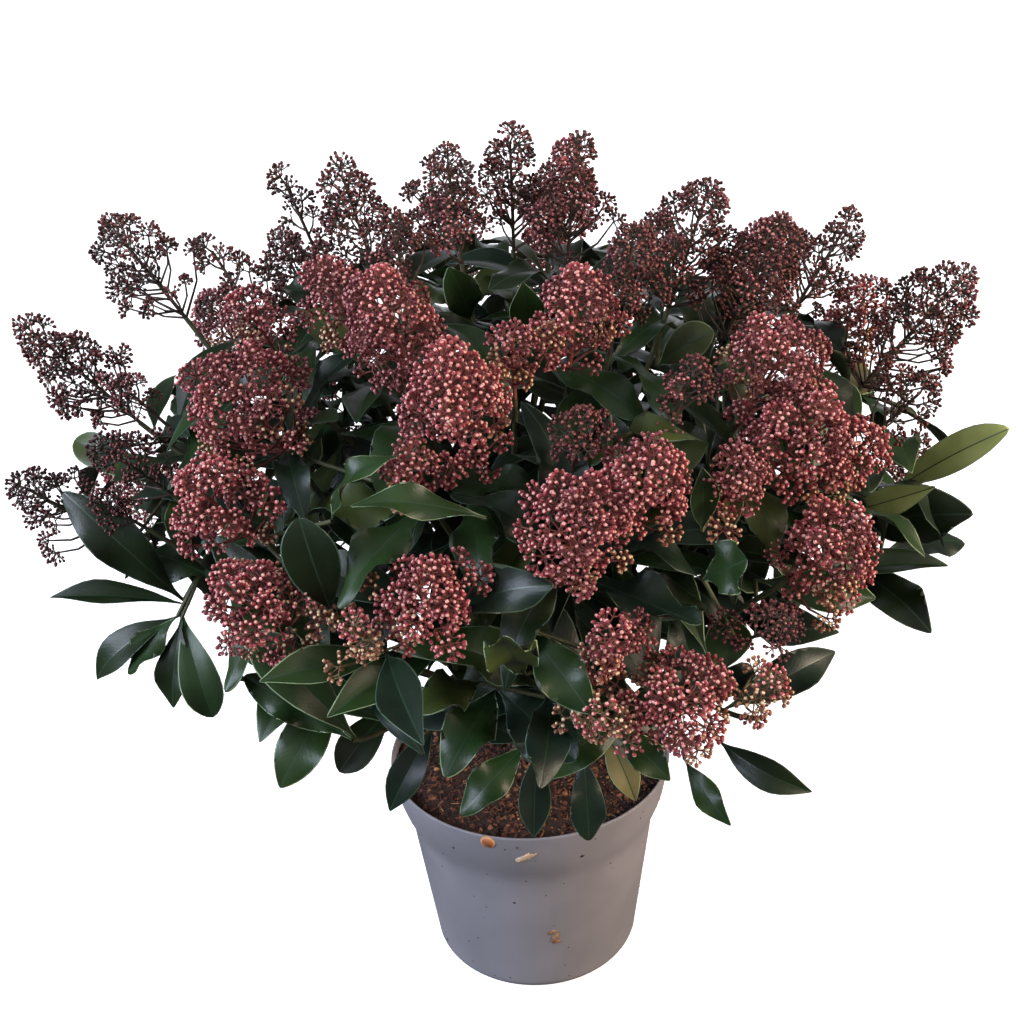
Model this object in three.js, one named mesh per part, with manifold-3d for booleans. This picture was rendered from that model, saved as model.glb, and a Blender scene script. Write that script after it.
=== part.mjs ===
// A skimmia in bud, growing in its plastic nursery pot: a round evergreen shrub on one short trunk,
// with whorls of leathery leaves and a panicle of small round flower buds at the end of its shoots.
// Millimetres, +Z up. The origin is the middle of the flat underside of the pot, and -Y is the front.
import * as THREE from 'three';
import { mergeVertices } from 'three/addons/utils/BufferGeometryUtils.js';
import Module from 'manifold-3d';

const wasm = await Module();
wasm.setup();

// ---------------------------------------------------------------- driving dimensions
const GAP = 0.3; // clearance between neighbouring solids

const POT = {
  height: 152,
  rimRadius: 95,
  bandFootRadius: 90,
  bandDepth: 32, // the wide band under the rim
  shoulderRadius: 82.5, // the wall just under the band
  baseRadius: 71,
  baseRounding: 10,
  wall: 1.8,
  segments: 28,
};

const SOIL = {
  edgeDrop: 7, // from the rim down to the soil at the wall
  crownRise: 5, // how far the middle stands above that
  flatRadius: 18, // the level patch round the trunk
};

const TRUNK = {
  height: 36, // from the soil to the fork
  footRadius: 14,
  flareHeight: 9,
  waistRadius: 9.5,
  neckRadius: 8,
  lean: 2.5, // how far the top stands to the right of the foot
  sides: 10,
};

const BOUGH = {
  tipShare: 0.38, // where a bough ends, as a share of its spray's reach
  forkShare: 0.48, // where a side bough leaves its parent, along the parent
  radius: 4.4,
  sideRadius: 3.3,
  tipRadius: 2.4,
  sides: 5,
  steps: 2,
};

const SHOOT = {
  forkShare: 0.02, // where the second shoot of a spray parts from the first, along it
  forkStep: 0.09, // and how much further on the next one does
  radius: 2.8,
  sideRadius: 2.2,
  tipRadius: 1.8,
  sides: 3,
  steps: 3,
  uplift: 0.22, // how much a shoot's end turns towards the light
};

const LEAF = {
  length: 84,
  widthShare: 0.42,
  thicknessShare: 0.02,
  rootDepth: 0.8, // how far a leaf's root is sunk past the middle of its shoot
  widest: 0.54, // where a leaf is widest, along its length
  thickest: 0.25, // where its midrib is thickest
  arch: 0.1, // how far its widest part stands above its chord, as a share of the length
  whorls: { high: [5, 2], low: [5, 3, 1] }, // leaves in the whorl under the buds and in the older ones below it
  lowFrom: 40, // the lean from which a spray counts as low
  whorlStep: 46, // from one whorl to the next, down the shoot
  spacing: 5, // between the leaves of one whorl
  opening: [50, 66, 84], // each whorl's angle to the shoot, in degrees
  openingStep: 3,
};

// What a leaf tries in turn until it finds room: turned by, opened by (degrees) and its share of the length.
const LEAF_TRIES = [
  [0, 0, 1], [20, -8, 1], [-20, -8, 1], [0, 14, 1], [0, -18, 1],
  [40, -10, 0.9], [-40, -10, 0.9], [0, -20, 0.8], [60, 0, 0.8], [-60, 0, 0.8], [25, -25, 0.75], [-25, -25, 0.75], [90, -20, 0.75],
];

const HEAD = {
  length: 76, // a panicle, from the top leaf to its highest bud
  radius: 30,
  taper: 0.14, // how much narrower it is above than below
  bareStalk: 15, // the stalk under its lowest buds
  stalkDepth: 20, // how far the stalk runs on inside
  dimple: 0.56, // how deep the hollows between its knobs are, as a share of the radius
  dimples: 2, // of every five faces
  unevenness: 14, // how far one panicle stands out past the next
  girths: [1, 0.9, 0.8, 0.7, 0.6, 0.5], // tried in turn, until one fits between its neighbours
};

const CROWN_FOOT = new THREE.Vector3(0, 0, 175); // the point that every spray points away from
const LOWEST_LEAF = POT.height + 7;
const GOLDEN_ANGLE = 137.508;

// Every spray of the crown: where it points, seen from the crown's foot (azimuth from +X, lean from
// upright), how far out its buds are centred, and how its shoots fan out round that direction. A spray
// with `from` grows from another spray's bough, and one with `leafy` carries no buds.
const SPRAYS = [
  { name: 'top', azimuth: 90, lean: 2, reach: 356, shoots: 3, fan: 6.5, turn: 90 },
  { name: 'front_middle', azimuth: -78, lean: 35, reach: 328, shoots: 3, fan: 4.4, turn: -20 },
  { name: 'left', azimuth: 179, lean: 39, reach: 380, shoots: 2, fan: 5.2, turn: 5 },
  { name: 'back', azimuth: 92, lean: 40, reach: 340, shoots: 2, fan: 8, turn: 50 },
  { name: 'right', azimuth: -3, lean: 43.5, reach: 364, shoots: 2, fan: 4, turn: 60 },
  { name: 'front_left', azimuth: -149, lean: 36, reach: 344, shoots: 4, fan: 7, turn: 40 },
  { name: 'back_left', azimuth: 137, lean: 39, reach: 342, shoots: 3, fan: 8, turn: 20 },
  { name: 'back_right', azimuth: 50, lean: 39, reach: 346, shoots: 2, fan: 7, turn: 84 },
  { name: 'right_front', azimuth: -46, lean: 36, reach: 336, shoots: 3, fan: 4.4, turn: 35 },
  { name: 'top_left', azimuth: -147, lean: 15.5, reach: 354, shoots: 3, fan: 6.5, turn: -63, from: 'top' },
  { name: 'top_right', azimuth: -60, lean: 21, reach: 348, shoots: 3, fan: 6.2, turn: -55, from: 'top' },
  { name: 'top_back', azimuth: 92, lean: 21, reach: 352, shoots: 2, fan: 7, turn: 80, from: 'top' },
  { name: 'front_high', azimuth: -101, lean: 27, reach: 342, shoots: 3, fan: 6, turn: 45, from: 'front_middle' },
  { name: 'front_low', azimuth: -71, lean: 52, reach: 292, shoots: 4, fan: 6.5, turn: 25, from: 'front_middle' },
  { name: 'left_high', azimuth: 173, lean: 22, reach: 360, shoots: 2, fan: 5.5, turn: 120, from: 'left' },
  { name: 'left_low', azimuth: -169, lean: 55, reach: 340, shoots: 2, fan: 4, turn: -30, from: 'left' },
  { name: 'front_low_left', azimuth: -114, lean: 47, reach: 309, shoots: 2, fan: 8.4, turn: 80, from: 'front_left' },
  { name: 'left_front_low', azimuth: -148, lean: 54, reach: 245, shoots: 2, fan: 7, turn: 80, from: 'front_left', leafy: true },
  { name: 'right_low', azimuth: -49, lean: 49, reach: 313, shoots: 2, fan: 4.4, turn: 60, from: 'right_front' },
  { name: 'high_right', azimuth: -5, lean: 23.5, reach: 348, shoots: 3, fan: 6.8, turn: -50, from: 'right' },
  { name: 'right_front_low', azimuth: -18, lean: 54, reach: 258, shoots: 2, fan: 7, turn: 60, from: 'right', leafy: true },
  { name: 'right_back_low', azimuth: 26, lean: 59, reach: 312, shoots: 2, fan: 7, turn: 43, from: 'back_right' },
  { name: 'back_low_right', azimuth: 66, lean: 60, reach: 300, shoots: 2, fan: 8, turn: 110, from: 'back_right' },
  { name: 'back_low_left', azimuth: 110, lean: 60, reach: 302, shoots: 2, fan: 8, turn: 75, from: 'back_left' },
  { name: 'left_back_low', azimuth: 151, lean: 60, reach: 318, shoots: 2, fan: 7, turn: -40, from: 'back_left' },
  { name: 'right_back', azimuth: 21, lean: 37, reach: 350, shoots: 2, fan: 6.5, turn: 10, from: 'back_right' },
];

// ---------------------------------------------------------------- colours
const paint = (color, roughness) => new THREE.MeshStandardMaterial({ color, roughness, metalness: 0 });
const MATERIALS = {
  pot: paint(0x85828a, 0.55),
  soil: paint(0x3b241b, 0.95),
  bark: paint(0x54432f, 0.9),
  foliage: paint(0x2c4127, 0.4),
};

// ---------------------------------------------------------------- solids and booleans
function solidOf(geometry) {
  const bare = geometry.index ? geometry.toNonIndexed() : geometry.clone();
  bare.deleteAttribute('normal');
  bare.deleteAttribute('uv');
  const merged = mergeVertices(bare, 1e-4);
  return new wasm.Manifold(new wasm.Mesh({
    numProp: 3,
    vertProperties: merged.attributes.position.array,
    triVerts: new Uint32Array(merged.index.array),
  }));
}

function geometryOf(solid) {
  const mesh = solid.getMesh();
  const geometry = new THREE.BufferGeometry();
  geometry.setAttribute('position', new THREE.BufferAttribute(mesh.vertProperties, 3));
  geometry.setIndex(new THREE.BufferAttribute(mesh.triVerts, 1));
  geometry.computeVertexNormals();
  return geometry;
}

function cornersOf(geometry) {
  const place = geometry.attributes.position;
  return Array.from({ length: place.count }, (_, i) => new THREE.Vector3().fromBufferAttribute(place, i));
}

// The largest closed body of a solid, without slivers and loose scraps.
function mainBody(solid) {
  const bodies = solid.asOriginal().simplify(0.1).decompose();
  return bodies.reduce((best, body) => (body.volume() > best.volume() ? body : best));
}

function named(name, geometry, material) {
  const mesh = new THREE.Mesh(geometry, material);
  mesh.name = name;
  return mesh;
}

// ---------------------------------------------------------------- directions and chance
const radians = THREE.MathUtils.degToRad;
const UP = new THREE.Vector3(0, 0, 1);

// Unit vector at an azimuth from +X and a lean from upright.
function heading(azimuth, lean) {
  const [a, l] = [radians(azimuth), radians(lean)];
  return new THREE.Vector3(Math.sin(l) * Math.cos(a), Math.sin(l) * Math.sin(a), Math.cos(l));
}

// `axis` tilted by `angle` towards the side that `turn` gives, counted round it from `up`.
function tilted(axis, up, angle, turn) {
  const side = up.clone().cross(axis).normalize();
  const upright = axis.clone().cross(side);
  return axis.clone().multiplyScalar(Math.cos(radians(angle)))
    .addScaledVector(upright, Math.sin(radians(angle)) * Math.cos(radians(turn)))
    .addScaledVector(side, Math.sin(radians(angle)) * Math.sin(radians(turn)));
}

// The same number between 0 and 1 for the same seed, every time.
function chance(seed) {
  const value = Math.sin(seed * 12.9898 + 4.1414) * 43758.5453;
  return value - Math.floor(value);
}

// ---------------------------------------------------------------- pot and potting mix
// Points of the pot's wall, from the underside to the rim, moved inwards by `inset`.
function wallPoints(inset, corner) {
  const { height, rimRadius, bandFootRadius, bandDepth, shoulderRadius, baseRadius, baseRounding } = POT;
  const bandFoot = height - bandDepth + inset / 2;
  const base = corner.map((angle) => new THREE.Vector2(
    baseRadius - baseRounding + (baseRounding - inset) * Math.sin(radians(angle)),
    baseRounding - (baseRounding - inset) * Math.cos(radians(angle)),
  ));
  return [
    ...base,
    new THREE.Vector2(shoulderRadius - inset, bandFoot - 4),
    new THREE.Vector2(shoulderRadius - inset + 2, bandFoot - 1),
    new THREE.Vector2(bandFootRadius - inset, bandFoot + 2),
    new THREE.Vector2(rimRadius - inset, height - 1.5),
  ];
}

function pot() {
  const profile = [
    new THREE.Vector2(0, 0),
    ...wallPoints(0, [0, 30, 60, 90]),
    new THREE.Vector2(POT.rimRadius - 0.5, POT.height),
    new THREE.Vector2(POT.rimRadius - POT.wall, POT.height),
    ...wallPoints(POT.wall, [0, 90]).reverse(),
    new THREE.Vector2(0, POT.wall),
  ];
  const shell = new THREE.LatheGeometry(profile, POT.segments).rotateX(Math.PI / 2);
  return named('pot', geometryOf(solidOf(shell)), MATERIALS.pot);
}

const SOIL_EDGE = POT.height - SOIL.edgeDrop;
const SOIL_TOP = SOIL_EDGE + SOIL.crownRise;

function pottingMix() {
  const wall = wallPoints(POT.wall + GAP, [0, 90]).filter((point) => point.y < SOIL_EDGE - 4);
  const bandFoot = new THREE.Vector2(POT.bandFootRadius, POT.height - POT.bandDepth);
  const rim = new THREE.Vector2(POT.rimRadius, POT.height);
  const edge = bandFoot.lerp(rim, (SOIL_EDGE - bandFoot.y) / POT.bandDepth).x - POT.wall - 3 * GAP;
  const dome = [0.5, 1].map((share) => new THREE.Vector2(
    THREE.MathUtils.lerp(edge, SOIL.flatRadius, share),
    SOIL_EDGE + SOIL.crownRise * Math.sin(share * Math.PI / 2),
  ));
  const profile = [
    new THREE.Vector2(0, POT.wall + GAP),
    ...wall,
    new THREE.Vector2(edge, SOIL_EDGE),
    ...dome,
    new THREE.Vector2(0, SOIL_TOP),
  ];
  const fill = new THREE.LatheGeometry(profile, POT.segments).rotateX(Math.PI / 2);
  return named('potting_mix', geometryOf(solidOf(fill)), MATERIALS.soil);
}

// ---------------------------------------------------------------- limbs
// Where a limb's rings stand: their centres and two directions across the curve, carried on from ring to
// ring so that a limb that comes near to upright doesn't twist.
function ringsAlong(curve, steps) {
  const rings = [];
  for (let ring = 0; ring <= steps; ring += 1) {
    const tangent = curve.getTangent(ring / steps);
    const reference = Math.abs(tangent.z) > 0.97 ? new THREE.Vector3(1, 0, 0) : UP;
    const before = ring ? rings[ring - 1].across : reference.clone().cross(tangent);
    const across = before.clone().addScaledVector(tangent, -before.dot(tangent)).normalize();
    rings.push({ centre: curve.getPoint(ring / steps), across, other: across.clone().cross(tangent) });
  }
  return rings;
}

// A round limb along a curve, tapering from one radius to the other and fattened by `extra`.
function limb(curve, radii, sides, steps, extra = 0) {
  const geometry = new THREE.CylinderGeometry(1, 1, 1, sides, steps);
  const place = geometry.attributes.position;
  const rings = ringsAlong(curve, steps);
  for (let i = 0; i < place.count; i += 1) {
    const share = place.getY(i) + 0.5;
    const { centre, across, other } = rings[Math.round(share * steps)];
    const radius = THREE.MathUtils.lerp(radii[0], radii[1], share) + extra;
    const point = centre.clone()
      .addScaledVector(across, place.getX(i) * radius)
      .addScaledVector(other, place.getZ(i) * radius);
    place.setXYZ(i, point.x, point.y, point.z);
  }
  return solidOf(geometry);
}

function trunkSolid(extra = 0) {
  const { height, footRadius, flareHeight, waistRadius, neckRadius, lean, sides } = TRUNK;
  const flare = [0, 0.4, 1].map((share) => new THREE.Vector2(
    waistRadius + (footRadius - waistRadius) * (1 - share) ** 2 + extra,
    flareHeight * share,
  ));
  const profile = [
    new THREE.Vector2(0, 0),
    ...flare,
    new THREE.Vector2(neckRadius + extra, height - 3),
    new THREE.Vector2(neckRadius * 0.75 + extra, height + extra),
    new THREE.Vector2(0, height + extra),
  ];
  const geometry = new THREE.LatheGeometry(profile, sides).rotateX(Math.PI / 2);
  const place = geometry.attributes.position;
  for (let i = 0; i < place.count; i += 1) {
    place.setX(i, place.getX(i) + lean * Math.max(0, place.getZ(i)) / height);
  }
  return solidOf(geometry).translate([0, 0, SOIL_TOP + GAP]);
}

// A smooth curve that leaves `from` along `outwards` and arrives at `to` along `onwards`.
function bendBetween(from, outwards, to, onwards) {
  const pull = from.distanceTo(to) * 0.36;
  return new THREE.CubicBezierCurve3(
    from, from.clone().addScaledVector(outwards, pull),
    to.clone().addScaledVector(onwards, -pull), to,
  );
}

const axisOf = (spray) => heading(spray.azimuth, spray.lean);
const tipDistance = (spray) => spray.reach * BOUGH.tipShare;

// The curve of a spray's bough: out of the trunk's upper half, or off its parent's curve.
function boughCurve(spray, parentCurve, tier) {
  const axis = axisOf(spray);
  const tip = CROWN_FOOT.clone().addScaledVector(axis, tipDistance(spray));
  let start = heading(spray.azimuth, Math.min(spray.lean + 14, 70));
  let root = new THREE.Vector3(TRUNK.lean * 0.8, 0, SOIL_TOP + TRUNK.height * (tier ? 0.83 : 0.5))
    .addScaledVector(heading(spray.azimuth, 90), TRUNK.neckRadius * 0.6);
  if (spray.name === 'top') {
    root = new THREE.Vector3(TRUNK.lean, 0, SOIL_TOP + TRUNK.height - 2);
    start = UP.clone();
  }
  if (parentCurve) {
    start = parentCurve.getTangent(BOUGH.forkShare).lerp(axis, 0.5).normalize();
    root = parentCurve.getPoint(BOUGH.forkShare).addScaledVector(start, BOUGH.radius * 1.5);
  }
  return bendBetween(root, start, tip, axis);
}

// Every bough stands 0.3 mm clear of the trunk, of its parent and of the boughs made before it.
function boughs() {
  const curves = new Map();
  const taken = [trunkSolid(GAP)];
  const meshes = [];
  SPRAYS.forEach((spray, i) => {
    const curve = boughCurve(spray, curves.get(spray.from), i % 2);
    curves.set(spray.name, curve);
    const radii = [spray.from ? BOUGH.sideRadius : BOUGH.radius, BOUGH.tipRadius];
    const whole = limb(curve, radii, BOUGH.sides, BOUGH.steps);
    const clear = mainBody(whole.subtract(wasm.Manifold.union(taken)));
    taken.push(limb(curve, radii, BOUGH.sides, BOUGH.steps, GAP * 1.1));
    meshes.push(named(`bough_${spray.name}`, geometryOf(clear), MATERIALS.bark));
  });
  return meshes;
}

// ---------------------------------------------------------------- sprays of leaves and buds
// A spray keeps to its own cone of the crown: nearer to its own direction than to any other.
function spaceOf(spray) {
  const axis = axisOf(spray);
  const walls = SPRAYS.filter((other) => other !== spray)
    .map((other) => axis.clone().sub(axisOf(other)).normalize());
  return (points) => points.every((point) => {
    const arm = point.clone().sub(CROWN_FOOT);
    const beside = Math.max(0, Math.hypot(point.x, point.y) - POT.rimRadius - 5);
    return arm.dot(axis) > tipDistance(spray) + 1
      && point.z > LOWEST_LEAF - beside
      && walls.every((wall) => arm.dot(wall) > GAP / 2 + 0.02);
  });
}

// A leaf: two halves folded up from a midrib, with a keel under it that is deepest near the root.
function blade({ root, tip, normal, width, depth, arch }) {
  const along = tip.clone().sub(root);
  const side = along.clone().cross(normal).normalize();
  const upper = side.clone().cross(along).normalize();
  const at = (share, across, lift) => root.clone().addScaledVector(along, share)
    .addScaledVector(side, across).addScaledVector(upper, lift);
  const [left, right] = [at(LEAF.widest, -width / 2, arch), at(LEAF.widest, width / 2, arch)];
  const keel = at(LEAF.thickest, 0, -depth);
  const faces = [root, tip, left, root, right, tip];
  for (const [a, b] of [[root, left], [left, tip], [tip, right], [right, root]]) faces.push(a, b, keel);
  return { solid: solidOf(new THREE.BufferGeometry().setFromPoints(faces)), points: [root, tip, left, right, keel] };
}

// The shoots of a spray: the first goes on from the stem, and the others part from it one by one.
// `stalk` is the bare length at a shoot's end, above its highest leaf.
function shootsOf(spray, foot, order) {
  const axis = axisOf(spray);
  const stalk = spray.leafy ? 2 : HEAD.bareStalk + HEAD.stalkDepth;
  const shoots = [];
  for (let i = 0; i < spray.shoots; i += 1) {
    const seed = 100 * order + 10 * i + 1;
    const towards = tilted(axis, UP, spray.fan, spray.turn + i * 360 / spray.shoots);
    const end = towards.clone().addScaledVector(UP, SHOOT.uplift * (1 - towards.z)).normalize();
    const centre = CROWN_FOOT.clone().addScaledVector(towards, spray.reach + HEAD.unevenness * (chance(seed) - 0.5));
    const stop = centre.addScaledVector(end, spray.leafy ? 0 : stalk - HEAD.length / 2);
    const start = i ? shoots[0].curve.getPoint(SHOOT.forkShare + SHOOT.forkStep * i) : foot;
    const curve = bendBetween(start, i ? towards : axis, stop, end);
    const radii = [i ? SHOOT.sideRadius : SHOOT.radius, SHOOT.tipRadius];
    shoots.push({ curve, end, seed, stalk, radii, length: curve.getLength() });
  }
  return shoots;
}

// A panicle of buds: a knobbly ovoid of twenty faces, some of them sunk in between its knobs.
function panicle({ curve, end, seed, stalk }, girth) {
  const { length, bareStalk, dimple, taper } = HEAD;
  const foot = curve.getPoint(1).addScaledVector(end, bareStalk - stalk);
  const side = end.clone().cross(UP).normalize();
  const other = side.clone().cross(end);
  const settle = (point, size) => foot.clone()
    .addScaledVector(end, (length - bareStalk) * (point.y * size + 1) / 2)
    .addScaledVector(side, point.x * size * HEAD.radius * girth * (1 - taper * point.y))
    .addScaledVector(other, point.z * size * HEAD.radius * girth * (1 - taper * point.y));
  const ball = mergeVertices(new THREE.IcosahedronGeometry(1, 0).deleteAttribute('normal').deleteAttribute('uv'));
  const knobs = cornersOf(ball);
  const points = knobs.map((knob, i) => settle(knob, 0.86 + 0.28 * chance(seed + 5 * i)));
  const triangles = [];
  for (let i = 0; i < ball.index.count; i += 3) {
    const [a, b, c] = [0, 1, 2].map((n) => ball.index.getX(i + n));
    if ((i / 3) % 5 < HEAD.dimples) {
      const low = settle(knobs[a].clone().add(knobs[b]).add(knobs[c]).normalize(), dimple);
      triangles.push(points[a], points[b], low, points[b], points[c], low, points[c], points[a], low);
    } else {
      triangles.push(points[a], points[b], points[c]);
    }
  }
  return { solid: solidOf(new THREE.BufferGeometry().setFromPoints(triangles)), points };
}

const overlaps = (solid, others) => others.some((other) => !solid.intersect(other).isEmpty());

// The leaves of one shoot: whorls at its end and lower down, each opened as far as it finds room
// beside what is standing there. They are added to `blades`.
function leaves({ curve, end, seed, stalk, length }, whorls, inside, standing, blades) {
  whorls.forEach((count, w) => {
    for (let i = 0; i < count; i += 1) {
      const below = stalk + w * LEAF.whorlStep + i * LEAF.spacing;
      if (below > length - 6) continue;
      const share = 1 - below / length;
      const root = curve.getPoint(share);
      const size = LEAF.length * (0.88 + 0.24 * chance(seed + 7 * i + 31 * w));
      const axis = w ? curve.getTangent(share) : end;
      for (const [turned, opened, shortened] of LEAF_TRIES) {
        const turn = (w * 5 + i) * GOLDEN_ANGLE + 360 * chance(seed + 2) + turned;
        const out = tilted(axis, UP, LEAF.opening[w] + LEAF.openingStep * i + opened, turn);
        const reach = size * shortened;
        const shape = (from) => blade({
          root: root.clone().addScaledVector(out, from),
          tip: root.clone().addScaledVector(out, reach),
          normal: axis,
          width: reach * LEAF.widthShare,
          depth: reach * LEAF.thicknessShare,
          arch: reach * LEAF.arch,
        });
        const leaf = shape(-LEAF.rootDepth);
        if (inside(leaf.points) && !overlaps(shape(reach * 0.1).solid, [...standing, ...blades])) {
          blades.push(leaf.solid);
          break;
        }
      }
    }
  });
}

// One spray: the shoots that part from its stem with their leaves and buds, fused to one body.
function spraySolid(spray, order) {
  const inside = spaceOf(spray);
  const foot = CROWN_FOOT.clone().addScaledVector(axisOf(spray), tipDistance(spray) + GAP);
  const shoots = shootsOf(spray, foot, order);
  const twigs = shoots.map(({ curve, radii }) => limb(curve, radii, SHOOT.sides, SHOOT.steps));
  const heads = spray.leafy ? [] : shoots.flatMap((shoot) => {
    const fitting = HEAD.girths.map((girth) => panicle(shoot, girth)).find(({ points }) => inside(points));
    return fitting ? [fitting.solid] : [];
  });
  const blades = [];
  const whorls = spray.lean < LEAF.lowFrom ? LEAF.whorls.high : LEAF.whorls.low;
  shoots.forEach((shoot, i) => {
    const others = twigs.filter((twig, j) => j !== i);
    leaves(shoot, whorls, inside, [...heads, ...others], blades);
  });
  return mainBody(wasm.Manifold.union([...twigs, ...heads, ...blades]));
}

// ---------------------------------------------------------------- the part
const trunk = named('trunk', geometryOf(trunkSolid()), MATERIALS.bark);
const sprays = SPRAYS.map((spray, order) => (
  named(`spray_${spray.name}`, geometryOf(spraySolid(spray, order)), MATERIALS.foliage)
));

export const part = new THREE.Group();
part.name = 'skimmia';
part.add(pot(), pottingMix(), trunk, ...boughs(), ...sprays);
export default part;
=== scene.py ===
# %% [markdown]
# # A skimmia in bud, in its nursery pot
#
# The plant is a small evergreen shrub. From one short trunk a few boughs fork again and again, and every
# shoot ends in a whorl of leathery leaves with a panicle of round flower buds above it. The solids of the
# frame are simple; here each of them gets the shape and finish of the real thing. Lengths on the plant are
# in millimetres, because that is how a plant is measured, and become metres when a mesh is made. The room,
# its lights and the grain of a finish are in metres from the start.

import math
import random

import bmesh
import bpy
import numpy as np
from mathutils import Matrix, Vector, noise


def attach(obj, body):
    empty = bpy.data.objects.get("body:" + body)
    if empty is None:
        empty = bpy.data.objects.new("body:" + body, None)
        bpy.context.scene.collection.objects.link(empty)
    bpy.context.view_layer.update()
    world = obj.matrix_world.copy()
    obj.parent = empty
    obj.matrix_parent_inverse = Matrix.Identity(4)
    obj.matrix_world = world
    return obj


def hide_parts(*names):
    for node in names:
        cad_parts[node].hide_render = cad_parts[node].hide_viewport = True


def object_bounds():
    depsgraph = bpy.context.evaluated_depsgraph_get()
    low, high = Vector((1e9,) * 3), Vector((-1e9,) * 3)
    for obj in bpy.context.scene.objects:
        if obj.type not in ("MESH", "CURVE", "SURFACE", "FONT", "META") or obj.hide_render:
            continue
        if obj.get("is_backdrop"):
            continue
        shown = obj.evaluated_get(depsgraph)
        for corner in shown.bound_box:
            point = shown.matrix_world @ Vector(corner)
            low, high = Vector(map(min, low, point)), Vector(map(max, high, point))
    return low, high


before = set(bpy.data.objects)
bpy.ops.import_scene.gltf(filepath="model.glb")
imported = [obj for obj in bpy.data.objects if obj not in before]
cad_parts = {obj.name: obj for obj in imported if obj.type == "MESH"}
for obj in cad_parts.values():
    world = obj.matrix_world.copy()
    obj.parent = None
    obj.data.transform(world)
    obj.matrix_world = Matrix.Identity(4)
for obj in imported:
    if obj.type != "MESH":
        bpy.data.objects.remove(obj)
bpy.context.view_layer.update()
MM = 0.001
UP = Vector((0, 0, 1))

# %% [markdown]
# ## Camera, floor and light
#
# The plant is seen from the front and from a little above, as someone standing at a table sees it. A camera
# can be turned with three angles, but they depend on the order of turning. It is clearer to work out the
# three directions that it needs (right, up and back) and to write them as the columns of one matrix.

# %% Place the camera
CAMERA = {"distance": 844.0, "height": 766.5, "pitch": 27.1, "yaw": -0.32, "roll": -2.64}
FOCAL_LENGTH, PICTURE_WIDTH = 1508.4, 1024  # both in pixels of the finished picture


def camera_directions():
    """The camera's own right, up and back, in the plant's frame."""
    pitch, yaw, roll = (math.radians(CAMERA[key]) for key in ("pitch", "yaw", "roll"))
    forward = Vector((math.sin(yaw) * math.cos(pitch), math.cos(yaw) * math.cos(pitch), -math.sin(pitch)))
    level = forward.cross(UP).normalized()
    upright = level.cross(forward)
    right = level * math.cos(roll) + upright * math.sin(roll)
    up = upright * math.cos(roll) - level * math.sin(roll)
    return right, up, -forward


camera = bpy.data.objects.new("camera", bpy.data.cameras.new("camera"))
bpy.context.scene.collection.objects.link(camera)
bpy.context.scene.camera = camera
camera.data.sensor_width = 36
camera.data.lens = FOCAL_LENGTH / PICTURE_WIDTH * camera.data.sensor_width
turn = Matrix(camera_directions()).transposed().to_4x4()
camera.matrix_world = Matrix.Translation((0, -CAMERA["distance"] * MM, CAMERA["height"] * MM)) @ turn
camera.data.clip_start, camera.data.clip_end = 0.05, 30
print(f"camera: {camera.data.lens:.1f} mm lens, {CAMERA['pitch']} degrees down")

# %% [markdown]
# Soft light needs a large source. One broad cool panel stands for a window up on the left, a weaker warm one
# fills the shadows from the right, a third lights the far side, and a high sky and the pale world light do
# the rest.

# %% Light the stage
bpy.context.scene.view_settings.view_transform = "Standard"


def shade(code):
    """A colour written as on paper (sRGB hex digits), in the linear numbers that Blender works in."""
    parts = [int(code[i:i + 2], 16) / 255 for i in (0, 2, 4)]
    return [p / 12.92 if p <= 0.04045 else ((p + 0.055) / 1.055) ** 2.4 for p in parts] + [1.0]


def panel(name, place, aim, size, power, colour):
    """A square light panel in metres and watts, turned towards the point it aims at."""
    light = bpy.data.lights.new(name, "AREA")
    light.shape, light.size, light.energy, light.color = "SQUARE", size, power, shade(colour)[:3]
    lamp = bpy.data.objects.new(name, light)
    lamp.location = place
    lamp.rotation_euler = (Vector(aim) - Vector(place)).to_track_quat("-Z", "Y").to_euler()
    bpy.context.scene.collection.objects.link(lamp)


CROWN_MIDDLE = (0, 0, 0.36)
panel("window", (-1.75, -0.95, 1.25), CROWN_MIDDLE, 1.2, 66, "dfe9ff")
panel("lamp", (1.85, -0.75, 0.85), CROWN_MIDDLE, 1.1, 59, "ffe6d0")
panel("back window", (0.4, 2.4, 1.1), CROWN_MIDDLE, 1.8, 20, "f1f4ff")
sun = bpy.data.lights.new("high sky", "SUN")
sun.energy, sun.angle, sun.color = 0.85, math.radians(100), shade("f6f9ff")[:3]
sky = bpy.data.objects.new("high sky", sun)
sky.rotation_euler = (math.radians(25), 0, 0)
bpy.context.scene.collection.objects.link(sky)

world = bpy.data.worlds.new("pale room")
world.use_nodes = True
world.node_tree.nodes["Background"].inputs["Color"].default_value = shade("ffffff")
world.node_tree.nodes["Background"].inputs["Strength"].default_value = 0.12
bpy.context.scene.world = world
print("light: 3 panels, a high sky and a pale world")

# %% [markdown]
# The wide floor is a matt light table. It throws no light up into the crown, so the gaps between the leaves
# stay deep and dark. A white dome over it closes the view from every side. It is a ball cut off by a plane,
# with its faces turned inwards.

# %% Lay the floor and set the dome over it
ROOM_RADIUS = 6.0
BELOW_FLOOR = -0.02  # how low the dome is cut off, so that it meets the floor without a gap


def backdrop_of(name, shape):
    """The bmesh as a backdrop, which the camera sees but which throws no light back on to the plant."""
    mesh = bpy.data.meshes.new(name)
    shape.to_mesh(mesh)
    shape.free()
    backdrop = bpy.data.objects.new(name, mesh)
    backdrop.visible_diffuse = backdrop.visible_glossy = False
    bpy.context.scene.collection.objects.link(backdrop)
    return backdrop


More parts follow.
